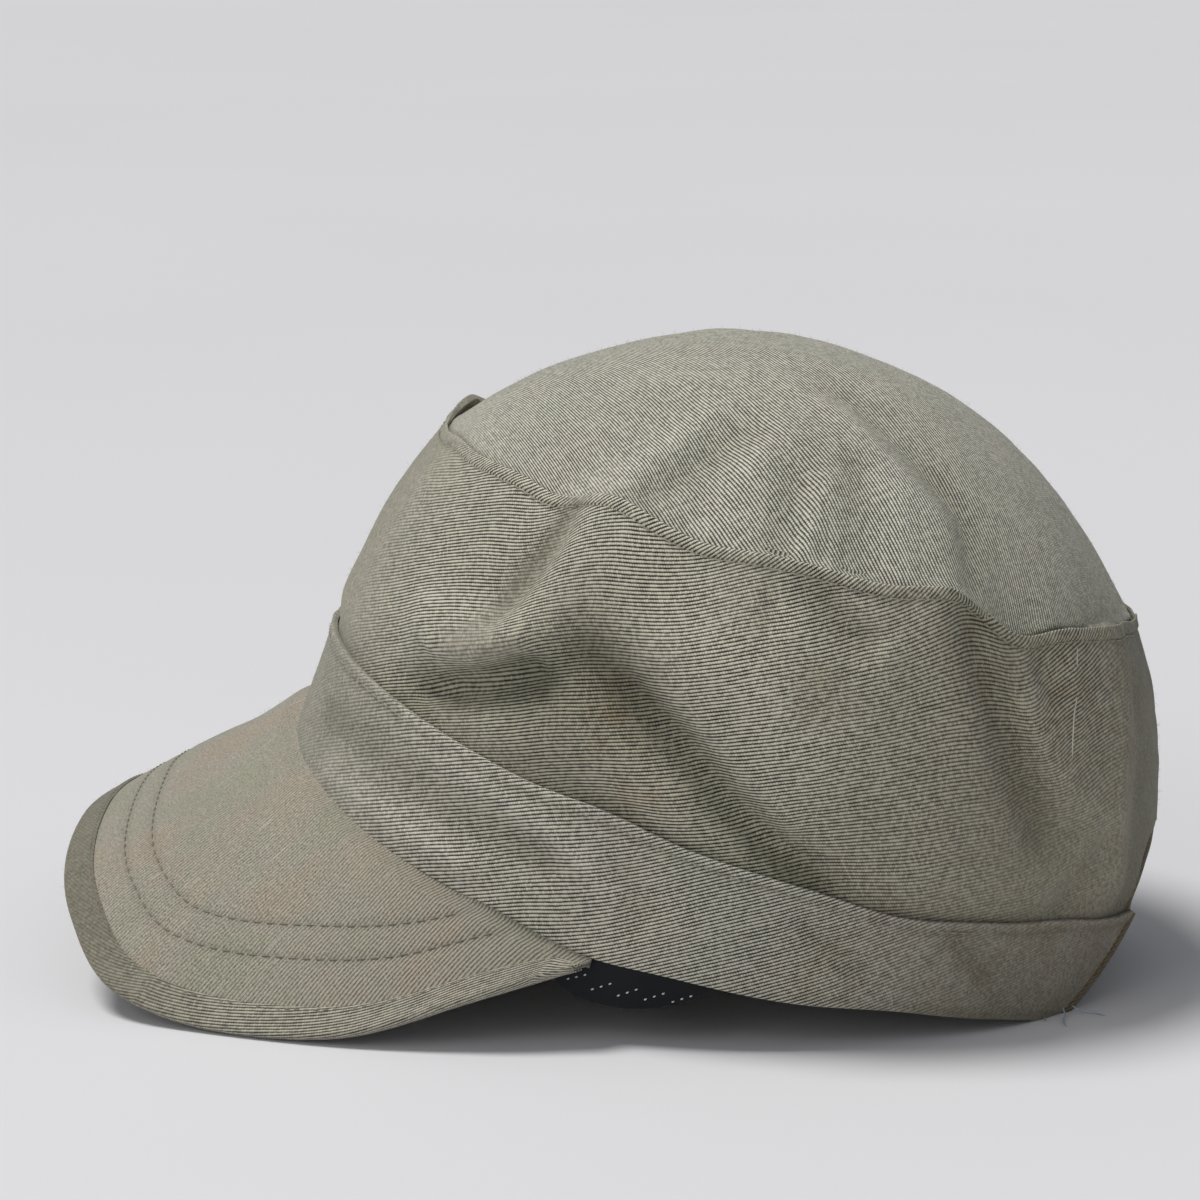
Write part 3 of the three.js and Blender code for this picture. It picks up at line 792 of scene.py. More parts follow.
side_cloth = twill("side_twill", tone(207, 203, 185), tone(38, 36, 30))
top_cloth = twill("top_twill", tone(213, 211, 196), tone(60, 58, 52))
band_cloth = twill("band_twill", tone(201, 197, 183), tone(44, 42, 37))
binding_cloth = twill("binding_twill", tone(198, 193, 178), tone(60, 57, 51))
peak_cloth = heathered(
    "peak_twill",
    tone(184, 178, 163),
    tone(78, 75, 66),
    rosy=(1.06, 0.985, 0.955),
    green=(0.94, 0.985, 0.935),
)
hem_cloth = twill("hem_twill", tone(126, 116, 92), tone(62, 55, 42), pitch=0.8)
sweatband_coat = leatherette("black_leatherette")
white_thread = thread("white_thread", tone(214, 216, 218), tone(180, 184, 190))
pale_fibre = thread("pale_fibre", tone(176, 173, 158), tone(140, 137, 122))
pale_thread = thread("pale_thread", tone(200, 198, 184), tone(172, 168, 150))
blue_thread = thread("blue_thread", tone(176, 186, 200), tone(140, 150, 166))
peak_thread = thread("peak_thread", tone(132, 128, 112), tone(100, 97, 84))
olive_thread = thread("olive_thread", tone(160, 156, 140), tone(124, 120, 106))


def wall_marks(angle, levels, girth, across, hollow):
    """Where the side wall's ribs show, where it is stained and browner towards the back, and where shade and
    highlights are painted on it.
    """
    side, from_seam = abs(angle), -across
    stretched = sum(
        bell(distance_to_line(angle, levels, places, *WALL_SCALE), reach) for reach, places in STRETCHED
    )
    stretched = np.clip(stretched * (1 + 0.5 * rumple(girth, across, 5, 6)), 0, 1)
    ribs = smoothstep(side, 14, 40) * (1 - 0.85 * smoothstep(side, 146, 157)) * (1 - 0.7 * stretched)
    ribs = ribs * (1 - 0.25 * smoothstep(rumple(girth, across, 20, 4), 0.2, 0.8))
    ribs = ribs * (1 - 0.3 * smoothstep(side, 90, 112))
    ribs = ribs * (1 - 0.85 * smoothstep(side, 106, 140) * (1 - smoothstep(levels, 0.2, 0.85)))
    stain = sum(bell(wall_distance(angle, levels, a, b), reach) for a, b, reach in WALL_STAINS)
    # The wall also turns browner and darker towards the back
    stain = stain + 0.4 * smoothstep(side, 98, 145)
    # Painted shade: darker towards the back and at the back edge, a little where the cloth is pulled, just
    # above the band, along a groove 2.5 mm below the seam, in fold hollows, towards the front, in a patch at
    # mid side and low on the side; a painted highlight on the top edge and on fold ridges
    shade = 0.62 * smoothstep(side, 150, 160) + 0.56 * smoothstep(side, 90, 145) + 0.05 * stretched
    shade = shade + 0.3 * (1 - smoothstep(levels, 0, 0.12)) - 0.5 * (1 - smoothstep(from_seam, 0, 0.5))
    shade = shade + 0.4 * bell(from_seam - 2.5, 0.5) + np.clip(0.17 * hollow, -0.2, 0.7)
    shade = shade + 0.5 * bell(angle, 40) + 1.0 * bell(wall_distance(angle, levels, 68, 0.34), 20)
    shade = shade + 0.3 * bell(side - 106, 22) * (1 - smoothstep(levels, 0.1, 0.55))
    return np.clip(ribs, 0, 1), np.clip(stain, 0, 1), shade


def make_wall():
    """The side wall, and the line inside its cloth that the top panel is sewn to."""
    angles = np.linspace(-180, 180, WALL_COLUMNS, endpoint=False)[:, None]
    top = band_top(angles)
    x = abs(HEAD_WIDTH / 2 * sind(angles))
    arch = smooth_line(ARCH_EDGE, 200)[::-1]
    arch_height = np.interp(x, arch[:, 0], arch[:, 1], right=-20) + HEM_WIDTH * 0.6
    bottom = np.where(abs(angles) > 90, np.maximum(top - WALL_TUCK, arch_height), top - WALL_TUCK)
    low = (bottom - top) / (seam_height(angles) - top)
    fold_rows = 1 - np.array(SEAM_FOLD_ROWS)[None, :] / (seam_height(angles) - top)
    plain_rows = WALL_ROWS - len(SEAM_FOLD_ROWS)
    levels = low + (fold_rows[:, :1] - low) * np.linspace(0, 1, plain_rows, endpoint=False)[None, :]
    levels = np.concatenate([levels, fold_rows], 1)
    angle = np.broadcast_to(angles, levels.shape)
    outer = wall_point(angle, levels, 0.0)
    around = run_length(np.vstack([outer[:, WALL_ROWS // 2], outer[:1, WALL_ROWS // 2]]), 0)
    whole = run_length(wall_point(angles, np.linspace(0, 1, 40)[None, :], 0.0), 1)[:, -1:]
    reach = 22
    height = sum(np.roll(whole, shift, 0) for shift in range(-reach, reach + 1)) / (2 * reach + 1)
    across = (levels - 1) * height
    girth = around[:-1, None]

    tuck = smoothstep(levels, 0.0, 0.06)
    from_seam = -across
    creases = fold_depth(WALL_CREASES, *WALL_SCALE, angle, levels)
    hollow = creases + fold_depth(WALL_FOLDS, *WALL_SCALE, angle, levels)
    allowance = 0.38 * (1 - smoothstep(from_seam, 1.9, 2.6)) - 0.2 * bell(from_seam - 2.7, 0.8)
    pucker = np.sin(girth * 0.62 + 2.2 * rumple(girth, 0, 25, 9)) * 0.3 * np.exp(-from_seam / 5)
    pucker = pucker * smoothstep(from_seam, 0.0, 1.5)
    soft = 0.6 * rumple(girth, across * 1.2, 24, 1) + 0.3 * rumple(girth, across, 10, 2)
    fine = 0.09 * rumple(girth, across, 4.5, 3)
    creases = creases * (1 - 0.75 * np.exp(-from_seam / 2.5))
    detail = (allowance + pucker + soft + fine - creases) * tuck
    outer = outer + grid_normals(outer, True) * detail[..., None]

    rim = outer[:, -1:]
    turn = [(0.08, 0.14), (0.28, 0.22), (0.48, 0.12)]
    rim_rows = np.concatenate([rim - outwards(angles) * inset + point(0, 0, up) for inset, up in turn], 1)
    flap = bell(angle - WALL_EDGE_LIFTS[0][0], 12)
    thick = mix(CROWN_THICK, 0.6 + 1.1 * flap, smoothstep(levels, 0.9, 0.99))
    inner = (outer - grid_normals(outer, True) * thick[..., None])[:, ::-1]
    loops = np.concatenate([outer, rim_rows, inner], 1)
    sewn_row = plain_rows + 1
    sewn_line = mix(outer[:, sewn_row], inner[:, ::-1][:, sewn_row], 0.6)

    across_rows = np.concatenate(
        [across, np.full((WALL_COLUMNS, 1), 0.2) * [[1, 2, 3]], across[:, ::-1], across[:, :1]], 1
    )
    across_rows = np.vstack([across_rows, across_rows[:1]])
    girth_rows = np.broadcast_to(around[:, None], across_rows.shape)
    maps = turned(girth_rows, across_rows, WALL_RIBS)
    fold = (turned(girth_rows, across_rows, SEAM_FOLD_RIBS), plain_rows, WALL_ROWS + len(turn))
    ribs, stain, shade = wall_marks(angle, levels, girth, across, hollow)
    marks = {"ribs": ribs, "stain": stain, "shade": shade}
    marks = {mark: on_both_faces(values, middle=len(turn)) for mark, values in marks.items()}
    return make_piece("crown_side_cloth", loops, maps, True, marks, fold=fold), sewn_line


def make_dome(sewn_line):
    """The top panel, with a narrow skirt down to a line of points inside the side wall's cloth."""
    angles = np.linspace(-180, 180, DOME_COLUMNS, endpoint=False)[:, None]
    radii = 1 - np.linspace(0, 1, DOME_ROWS)[None, :] ** 1.25
    angle, radius = np.broadcast_arrays(angles, radii)
    outer = dome_point(angle, radius, 0.0)
    inset = outwards(angle) * (0.75 * radius ** 8)[..., None]
    outer = outer - inset
    outer[..., 2] -= 0.55 * radius ** 30
    from_seam = run_length(outer, 1)
    spoke = from_seam[:, -1:] - from_seam
    x, y = outer[..., 0], outer[..., 1]
    creases = 0.75 * fold_depth(TOP_CREASES, *PLAN_SCALE, x, y)
    soft = 0.55 * rumple(x, y, 22, 11) + 0.25 * rumple(x, y, 9, 12) + 0.07 * rumple(x, y, 4, 13)
    girth = np.radians(angle) * 80
    pucker = np.sin(girth * 0.58 + 2 * rumple(girth, 0, 22, 14)) * 0.25 * np.exp(-from_seam / 6)
    settle = smoothstep(radius, 0.0, 0.12) * smoothstep(from_seam, 0.3, 2.5)
    detail = (soft + pucker - creases) * settle
    normals = grid_normals(outer, True)
    normals[:, -1] = (0, 0, 1)
    outer = outer + normals * detail[..., None]
    outer[:, -1] = outer[:1, -1]

    rim = outer[:, :1]
    around = np.linspace(-180, 180, len(sewn_line), endpoint=False)
    wall = np.stack([np.interp(angles, around, sewn_line[:, k], period=360) for k in range(3)], -1)
    skirt = [(0.0, 0.6), (0.5, 0.5), (1.0, 0.0), (0.9, 0.5)]
    skirt_rows = np.concatenate([mix(rim, wall, share) - point(0, 0, down) for share, down in skirt[::-1]], 1)
    inner = dome_point(angle, np.minimum(radius, 0.985), CROWN_THICK) + normals * (detail * settle)[..., None]
    inner[:, -1] = inner[:1, -1]
    loops = np.concatenate([skirt_rows, outer, inner[:, ::-1]], 1)

    spoke_rows = np.concatenate(
        [spoke[:, :1] + 3.0 - 0.7 * np.arange(len(skirt))[None, :], spoke, spoke[:, ::-1], spoke[:, :1]], 1
    )
    spoke_rows = np.vstack([spoke_rows, spoke_rows[:1]])
    turn = np.vstack([angles, [[180]]])
    swirl = 2.6 * bell(np.hypot(spoke_rows * sind(turn) - 62, -spoke_rows * cosd(turn) - 8), 16)
    maps = turned(-spoke_rows * cosd(turn), spoke_rows * sind(turn) + swirl, TOP_RIBS)
    maps[..., 1] += 0.006 * np.minimum(spoke_rows * -cosd(turn) + 15, 0) ** 2
    away = smoothstep(y, 25, 75)
    ribs = (1 - 0.45 * away) * smoothstep(y, -88, -58)
    ribs = ribs * (1 - 0.35 * smoothstep(rumple(x, y, 18, 15), 0.2, 0.8))

    hollow = creases + fold_depth(TOP_FOLDS, *PLAN_SCALE, x, y)
    # Painted shade: darker along the seam, towards the back and in fold hollows, with a painted highlight on
    # fold ridges
    shade = 0.5 * (1 - smoothstep(from_seam, 0, 1.2)) + 0.3 * smoothstep(y, 15, 60) + 0.22 * hollow
    marks = {
        "ribs": on_both_faces(np.clip(ribs, 0, 1), start=len(skirt)),
        "stain": 0.0,
        "shade": on_both_faces(shade, start=len(skirt)),
    }
    return make_piece("crown_top_cloth", loops, maps, True, marks)


def arch_angle(z):
    """Where the band ends at a height, as an angle on the wearer's left."""
    arch = smooth_line(ARCH_EDGE, 200)
    x = np.interp(z, arch[:, 1], arch[:, 0]) + HEM_WIDTH * 0.6
    return 180 - np.degrees(np.arcsin(np.clip(x / (HEAD_WIDTH / 2), 0, 1)))


def strip_angles(columns, z):
    """Angles along a strip that ends at the arch on both sides, at heights z."""
    share = np.linspace(-1, 1, columns)[:, None]
    inner = np.abs(share) * STRIP_EVEN_TO / STRIP_EVEN_SHARE
    to_end = np.clip((np.abs(share) - STRIP_EVEN_SHARE) / (1 - STRIP_EVEN_SHARE), 0, 1)
    outer = mix(STRIP_EVEN_TO, arch_angle(z), to_end)
    return np.sign(share) * np.where(np.abs(share) < STRIP_EVEN_SHARE, inner, outer)


def fit_strip(columns, heights):
    """Angles and heights of a strip whose ends follow the arch. heights gives heights at angles."""
    z = heights(np.linspace(-1, 1, columns)[:, None] * STRIP_END)
    for _ in range(FITTING_ROUNDS):
        angle = strip_angles(columns, z)
        z = heights(angle)
    return angle, z


def band_marks(angle, across, from_top, creases):
    """Where the band's ribs show, where it is stained and browner towards its end, and where shade and
    highlights are painted on it.
    """
    side = abs(angle)
    ribs = (0.15 + 0.85 * smoothstep(side, 18, 62)) * (1 - 0.88 * smoothstep(side, 98, 132))
    spot = np.hypot((angle - 108) * BAND_SCALE[0], across - 8)
    # Besides one stain, the band turns browner and darker towards its end on the wearer's left
    stain = 0.6 * bell(spot, 9) + 0.7 * smoothstep(angle, 112, 140)
    # Painted shade: darker towards the back, along a groove 2.4 mm below the top edge, in crease hollows,
    # towards the front and along the lower edge at the sides; a painted highlight on the top edge and on
    # crease ridges
    shade = 0.72 * smoothstep(side, 92, 140) - 0.35 * (1 - smoothstep(from_top, 0, 0.7))
    shade = shade + 0.5 * bell(from_top - 2.4, 0.7) + 0.38 * creases + 0.6 * bell(angle, 46)
    shade = shade + 0.3 * bell(across - 1.2, 1.2) * smoothstep(side, 88, 100)
    return np.clip(ribs, 0, 1), np.clip(stain, 0, 1), shade


def make_band():
    """The band, with rounded edges, open at the back between the two sides of the arch."""
    shares = np.linspace(0, 1, BAND_ROWS)[None, :]

    def heights(angle):
        return mix(band_bottom(angle), band_top(angle), shares)

    angle, z = fit_strip(BAND_COLUMNS, heights)
    outer = band_point(angle, z, 0.0)
    around = run_length(outer[:, BAND_ROWS // 2:BAND_ROWS // 2 + 1], 0)
    around = around - around[BAND_COLUMNS // 2]
    across = run_length(outer, 1)
    from_top = across[:, -1:] - across
    allowance = 0.3 * (1 - smoothstep(from_top, 2.2 + 0.5 * rumple(around, 0, 16, 21), 3.0))
    soft = 0.4 * rumple(around, across * 1.3, 20, 22) + 0.15 * rumple(around, across, 8, 23)
    pucker = np.sin(around * 0.7 + 2 * rumple(around, 0, 20, 24)) * 0.14 * np.exp(-from_top / 5)
    creases = fold_depth(BAND_CREASES, *BAND_SCALE, angle, np.broadcast_to(shares, angle.shape))
    soft = (soft - creases) * smoothstep(across, 0, 4) * smoothstep(from_top, -0.5, 2.5)
    detail = allowance + soft + pucker + 0.05 * rumple(around, across, 4, 25)
    detail = np.maximum(detail, 0.25 * detail - 0.6)
    outer = outer + outwards(angle) * detail[..., None]
    lip = [(0.1, 0.2), (0.45, 0.3), (0.9, 0.2)]
    top_rows = np.concatenate(
        [outer[:, -1:] - outwards(angle[:, -1:]) * inset + point(0, 0, up) for inset, up in lip], 1
    )
    low_rows = np.concatenate(
        [outer[:, :1] - outwards(angle[:, :1]) * inset - point(0, 0, up) for inset, up in lip[::-1]], 1
    )
    inner = band_point(angle, z, BAND_THICK)[:, ::-1]
    edge_rows = len(lip)
    upper, lower = [np.repeat(inner[:, at], edge_rows, 1) for at in (slice(0, 1), slice(-1, None))]
    loops = np.concatenate([low_rows, outer, top_rows, upper, inner, lower], 1)
    rows_out = np.concatenate(
        [across[:, :1] - [[0.9, 0.6, 0.3]], across, across[:, -1:] + [[0.3, 0.6, 0.9]]], 1
    )
    rows_all = np.concatenate([rows_out, rows_out[:, ::-1], rows_out[:, :1]], 1)
    maps = turned(np.broadcast_to(around[:, :1], rows_all.shape), rows_all, BAND_RIBS)
    ribs, stain, shade = band_marks(angle, across, from_top, creases)
    marks = {"ribs": ribs, "stain": stain, "shade": shade}
    rows = {"start": edge_rows, "middle": 2 * edge_rows, "end": edge_rows}
    marks = {mark: on_both_faces(values, **rows) for mark, values in marks.items()}
    return make_piece("band_cloth", loops, maps, False, marks)


def peak_frame():
    """Root and edge points of the peak's middle surface, from the wearer's right to the left."""
    share = np.linspace(0, 1, PEAK_COLUMNS)
    angle = PEAK_END_ANGLE * (2 * share - 1)
    root = band_point(angle, band_bottom(angle), -GAP)
    root[:, 2] -= GAP + PEAK_THICK / 2
    edge_places = [(-x, y, z) for x, y, z in PEAK_EDGE[:0:-1]] + PEAK_EDGE
    edge = smooth_line(edge_places, PEAK_COLUMNS, even=True)
    return share, angle, root, edge


def peak_length():
    """How far the peak reaches out from the band in each column, in mm."""
    _, _, root, edge = peak_frame()
    return np.linalg.norm(edge - root, axis=1)[:, None]


def towards_ends(low, high):
    """A soft step along the peak, from 0 near its middle to 1 near both ends."""
    return smoothstep(abs(2 * np.linspace(0, 1, PEAK_COLUMNS) - 1), low, high)[:, None]


def peak_surface(levels):
    """Points and outward directions of the peak's middle surface at levels, columns by rows."""
    _, _, root, edge = peak_frame()
    length = peak_length()
    levels = np.broadcast_to(levels, (PEAK_COLUMNS, np.shape(levels)[-1]))

    def at(level):
        surface = mix(root[:, None], edge[:, None], level[..., None])
        surface[..., 2] += PEAK_SWELL * np.minimum(length / 50, 1) * 4 * level * (1 - level)
        return surface

    surface = at(levels)
    out = at(np.minimum(levels + 0.01, 1)) - at(levels - 0.01)
    along = np.gradient(surface, axis=0)
    normal = unit(np.cross(along, out)) * -1
    normal[:PEAK_END_COLUMNS] = normal[PEAK_END_COLUMNS]
    normal[-PEAK_END_COLUMNS:] = normal[-PEAK_END_COLUMNS - 1]
    return surface, normal


def beside_peak(reach, height):
    """Points beside the peak: reach in mm inwards from its outer edge, and height above its middle."""
    surface, normal = peak_surface(1 - reach / peak_length())
    normal = normal * np.sign(normal[PEAK_COLUMNS // 2, 0, 2])
    return surface + normal * np.asarray(height)[..., None]


def peak_half(reach):
    """Half the thickness of the covered peak, which thins towards its outer edge."""
    return PEAK_THICK / 2 - 0.4 * (1 - smoothstep(reach, 2, 14))


def row_reach(row):
    """Distances of a stitched row from the peak's outer edge, from the wearer's right to the left."""
    front, side = row
    return mix(front, side, smoothstep(abs(np.linspace(-1, 1, PEAK_COLUMNS)), 0.25, 0.6))


def cover_top(reach):
    """Points on the top of the peak's cloth, at distances in mm from the outer edge, columns by rows."""
    _, angle, _, edge = peak_frame()
    from_root = peak_length() - reach
    raised = ROOT_RAISED * bell(angle[:, None], ROOT_RAISED_REACH)
    rise = raised * (1 - smoothstep(from_root, -2, 22)) ** 1.3
    rise = rise + 0.5 * np.exp(-from_root / 2)
    along = run_length(edge[:, None], 0)
    soft = 0.22 * rumple(along, reach, 22, 31) + 0.08 * rumple(along, reach, 8, 32)
    rows = [row_reach(row)[:, None] for row in PEAK_ROWS]
    quilt = sum(0.25 * bell(reach - row, 1.9) for row in rows) * smoothstep(from_root, 1, 4)
    height = peak_half(reach) * (1 - 0.3 * towards_ends(0.8, 0.95)) + soft - quilt
    return beside_peak(reach, height) + point(0, 0, 1.0) * rise[..., None]


def make_peak():
    """The cloth-covered peak, whose root runs on behind the band's lower edge."""
    _, angle, _, _ = peak_frame()
    length = peak_length()
    inset = BINDING_THICK + GAP + 0.3
    reach = length - (length - inset) * np.linspace(0, 1, PEAK_ROWS_ACROSS)[None, :]
    from_root = length - reach
    top = cover_top(reach)
    against_band = band_point(angle[:, None], top[..., 2], 0.5)
    near_middle = smoothstep(bell(angle[:, None], ROOT_RAISED_REACH), 0.0, 0.2)
    sewn = near_middle * (1 - smoothstep(from_root, 0.5, 4.0))
    top[..., :2] = mix(top[..., :2], against_band[..., :2], sewn[..., None])
    bottom = beside_peak(reach, -peak_half(reach) * (1 - 0.3 * towards_ends(0.8, 0.95)))
    tuck_low = band_point(angle[:, None], band_bottom(angle)[:, None] - GAP - PEAK_THICK / 2, BAND_THICK)
    tuck_high = np.concatenate([tuck_low[..., :2], top[:, :1, 2:]], -1)
    top = np.concatenate([tuck_high, top], 1)
    bottom = np.concatenate([tuck_low - point(0, 0, PEAK_THICK / 2), bottom], 1)
    loops = np.concatenate([top, bottom[:, ::-1]], 1)
    flat = np.concatenate([top, bottom[:, ::-1], top[:, :1]], 1)
    maps = turned(flat[..., 0], flat[..., 1] * 1.15, PEAK_RIBS)
    near = towards_ends(0.4, 0.85)
    ribs = np.ones((PEAK_COLUMNS, top.shape[1])) * (0.3 + 0.5 * near)
    # Painted shade on the peak: darker next to the band away from the middle, along the stitched rows and
    # towards both ends
    painted_peak_shade = 0.9 * np.exp(-from_root / 1.2) * smoothstep(abs(angle), 20, 45)[:, None]
    sewn_rows = sum(0.35 * bell(reach - row_reach(row)[:, None], 1.1) for row in PEAK_ROWS)
    painted_peak_shade = painted_peak_shade + sewn_rows * smoothstep(from_root, 1, 4)
    painted_peak_shade = np.concatenate([painted_peak_shade[:, :1], painted_peak_shade], 1) + 0.65 * near
    marks = {"ribs": on_both_faces(ribs), "shade": on_both_faces(painted_peak_shade)}
    return make_piece("peak_cover", loops, maps, False, marks)


def binding_half(reach):
    """Height of the binding's outer face over the middle of the peak."""
    return peak_half(reach) + 0.1 + BINDING_THICK


def make_binding():
    """The strip folded over the peak's outer edge, a little narrower where the peak runs out."""
    _, _, _, edge = peak_frame()
    room = np.maximum(peak_length() - 2.2, 2.1)
    top = np.minimum(BINDING_TOP, room)
    under = np.minimum(BINDING_UNDER, room)
    steps = np.linspace(0, 1, 12)[None, :]
    quarter = np.radians(np.linspace(0, 90, 5))[None, :]
    bend = 1.1
    ones = np.ones((PEAK_COLUMNS, 1))
    along = run_length(edge[:, None], 0)
    face_reach = mix(top, bend, steps)
    bend_reach = bend - bend * np.sin(quarter) * ones
    bend_height = binding_half(0) - bend + bend * np.cos(quarter)
    ripple = 0.12 * rumple(along, face_reach, 9, 41) + 0.05 * rumple(along, face_reach, 4, 42)
    edge_drop = 0.45 * (1 - smoothstep(top - face_reach, 0, 1.0))
    face_height = binding_half(face_reach) + ripple - edge_drop
    under_reach = mix(bend, under, steps)
    outer_rows = np.concatenate([face_reach, bend_reach, bend_reach[:, ::-1], under_reach], 1)
    outer_heights = np.concatenate(
        [face_height, bend_height * ones, -bend_height[:, ::-1] * ones, -binding_half(under_reach)], 1
    )
    count = outer_rows.shape[1]
    inner_rows = np.maximum(outer_rows, BINDING_THICK)
    inner_heights = outer_heights - np.sign(outer_heights) * np.minimum(BINDING_THICK, abs(outer_heights))
    reach = np.concatenate([outer_rows, inner_rows[:, ::-1]], 1)
    height = np.concatenate([outer_heights, inner_heights[:, ::-1]], 1)
    loops = beside_peak(reach, height)
    around_rows = run_length(loops[:, :count], 1)
    rows = np.concatenate([around_rows, around_rows[:, ::-1], around_rows[:, :1]], 1)
    centre = along - along[-1] / 2
    steep_to, steep, shallow = 90, 0.42, 0.1
    past = np.maximum(abs(centre) - steep_to, 0)
    slant = np.sign(centre) * (steep * np.minimum(abs(centre), steep_to) + shallow * past)
    maps = np.stack([np.broadcast_to(along, rows.shape), rows + slant], -1)
    to_side = towards_ends(0.3, 0.62) * np.ones((PEAK_COLUMNS, 2 * count))
    marks = {"ribs": 0.1 + 0.8 * to_side, "stain": 0.0, "shade": 0.3 + 0.95 * (1 - to_side)}
    return make_piece("peak_binding_cloth", loops, maps, False, marks)


def make_sweatband():
    """The strip inside the band, which sags below it behind both ends of the peak."""
    shares = np.linspace(0, 1, SWEATBAND_ROWS)[None, :]
    near = BAND_THICK + GAP

    def heights(angle):
        offset = np.minimum(abs(abs(angle) - SAG_AT) / SAG_REACH, 1)
        low = band_bottom(angle) + 0.5 - SAG_DEPTH * (1 - offset ** 2.5)
        high = band_top(angle) - WALL_TUCK - 1
        return mix(low, high, shares)

    angle, z = fit_strip(SWEATBAND_COLUMNS, heights)
    middle = np.full((SWEATBAND_COLUMNS, 1), SWEATBAND_MIDDLE)
    around = run_length(band_point(angle[:, :1], middle, near), 0)
    sway = 0.35 * rumple(around, z, 18, 51) * (z < band_bottom(angle))
    outer = band_point(angle, z, near - 0.1) - outwards(angle) * (0.3 + sway)[..., None]
    inner = outer - outwards(angle) * SWEATBAND_THICK
    loops = np.concatenate([outer, inner[:, ::-1]], 1)
    across = np.concatenate([z, z[:, ::-1], z[:, :1]], 1)
    maps = np.stack([np.broadcast_to(around, across.shape), across], -1)
    return make_piece("sweatband_strip", loops, maps, False)


def back_surface(x, z):
    """The outer surface of band and wall at the back, at places given by x and z."""
    angle = 180 - np.degrees(np.arcsin(x / (HEAD_WIDTH / 2)))
    for _ in range(8):
        top = band_top(angle)
        low = band_point(angle, z, 0.0)
        high = wall_point(angle, np.maximum((z - top) / (seam_height(angle) - top), 0), 0.0)
        surface = np.where((z < top)[..., None], low, high)
        angle = angle + np.degrees((surface[..., 0] - x) / (HEAD_WIDTH / 2))
    return surface


def make_hem():
    """The narrow hem round the arch, proud of band and wall and turned in behind them."""
    right_half = [(-x, z) for x, z in ARCH_EDGE]
    line = smooth_line(right_half + ARCH_EDGE[-2::-1], HEM_COLUMNS, even=True)
    along = unit(np.gradient(line, axis=0))
    away = np.stack([-along[:, 1], along[:, 0]], -1)
    run = run_length(line[:, None], 0)
    proud = HEM_PROUD + 0.15 * rumple(run, 0, 7, 61)
    # Across the hem: distance from the arch, share of the height or depth, and whether it stands proud
    section = [
        (0.25, -1.0, 0), (0.0, -0.75, 0), (0.0, -0.3, 0), (0.1, 0.25, 1), (0.45, 0.75, 1), (1.0, 0.95, 1),
        (1.6, 0.85, 1), (2.1, 0.45, 1), (2.3, 0.0, 1), (2.3, -0.3, 0), (2.3, -1.0, 0),
    ]
    rows = []
    for offset, share, front in section:
        place = line + away * offset
        surface = back_surface(place[:, 0], place[:, 1])
        outward = unit(surface * [1, 1, 0])
        height = proud[:, 0] * share if front else HEM_DEPTH * share
        rows.append(surface + outward * np.asarray(height)[..., None])
    rows.append(rows[-1])
    loops = np.stack(rows, 1)
    across = np.concatenate([run_length(loops, 1), np.zeros((len(line), 1))], 1)
    maps = turned(np.broadcast_to(run, across.shape), across, HEM_RIBS)
    marks = {"ribs": 0.35, "stain": 0.3, "shade": 0.0}
    return make_piece("back_hem_cloth", loops, maps, False, marks)


def stitch_shape(length, thickness):
    """One stitch, modelled once: a short thread that dips in at both ends."""
    bpy.ops.object.select_all(action="DESELECT")
    bpy.ops.mesh.primitive_uv_sphere_add(segments=6, ring_count=7, radius=1, rotation=(0, math.pi / 2, 0))
    model = bpy.context.object
    bpy.ops.object.transform_apply(location=False, rotation=True, scale=False)
    co = np.array([v.co for v in model.data.vertices]) * [length / 2, thickness / 2, thickness / 2]
    co[:, 2] -= thickness * 0.6 * (2 * co[:, 0] / length) ** 4
    faces = sorted(list(p.vertices) for p in model.data.polygons)
    bpy.data.objects.remove(model)
    return co, faces


def make_stitches(name, spots, directions, normals, length, thickness):
    """A row of stitches at spots, each laid along its direction on a surface with its normal."""
    shape, shape_faces = stitch_shape(length, thickness)
    along = unit(directions)
    side = unit(np.cross(normals, along))
    up = np.cross(along, side)
    points = (
        spots[:, None]
        + shape[None, :, 0:1] * along[:, None]
        + shape[None, :, 1:2] * side[:, None]
        + shape[None, :, 2:3] * up[:, None]
    )
    faces = [[v + k * len(shape) for v in face] for k in range(len(spots)) for face in shape_faces]
    mesh = bpy.data.meshes.new(name)
    mesh.from_pydata(placed(points).reshape(-1, 3).tolist(), [], faces)
    row = add_object(name, mesh)
    smooth_piece(row, THREAD_SMOOTHING)
    return row


def spread(line, normals, pitch):
    """Places, directions and normals at equal steps along a line of points."""
    length = run_length(line[:, None], 0)[:, 0]
    stops = np.arange(pitch / 2, length[-1], pitch)

    def pick(values):
        return np.stack([np.interp(stops, length, values[:, k]) for k in range(3)], -1)

    return pick(line), pick(np.gradient(line, axis=0)), unit(pick(normals))


def sew_peak():
    """The peak's stitched rows, laid just above its cloth, and the row that holds its binding."""
    rows = []
    for number, row in enumerate(PEAK_ROWS, 1):
        reach = row_reach(row)
        rows.append((f"peak_stitches_{number}", reach, cover_top(reach[:, None]), ROW_PITCH))
    reach = np.full(PEAK_COLUMNS, BINDING_TOP - 0.9)
    height = peak_half(reach)[:, None] + BINDING_THICK - 0.15
    rows.append(("binding_stitches", reach, beside_peak(reach[:, None], height), BINDING_PITCH))
    one = np.ones((PEAK_COLUMNS, 1))
    for name, reach, line, pitch in rows:
        outward = (beside_peak(reach[:, None], one) - beside_peak(reach[:, None], 0 * one))[:, 0]
        on_peak = peak_length()[:, 0] > reach + 3
        above = line[:, 0] + 0.12 * outward
        spots, directions, normals = spread(above[on_peak], outward[on_peak], pitch)
        length = pitch * STITCH_SHARE
        stitches = make_stitches(name, spots, directions, normals, length, PEAK_STITCH_THICK)
        finish_piece(stitches, peak_thread, "peak_cloth")


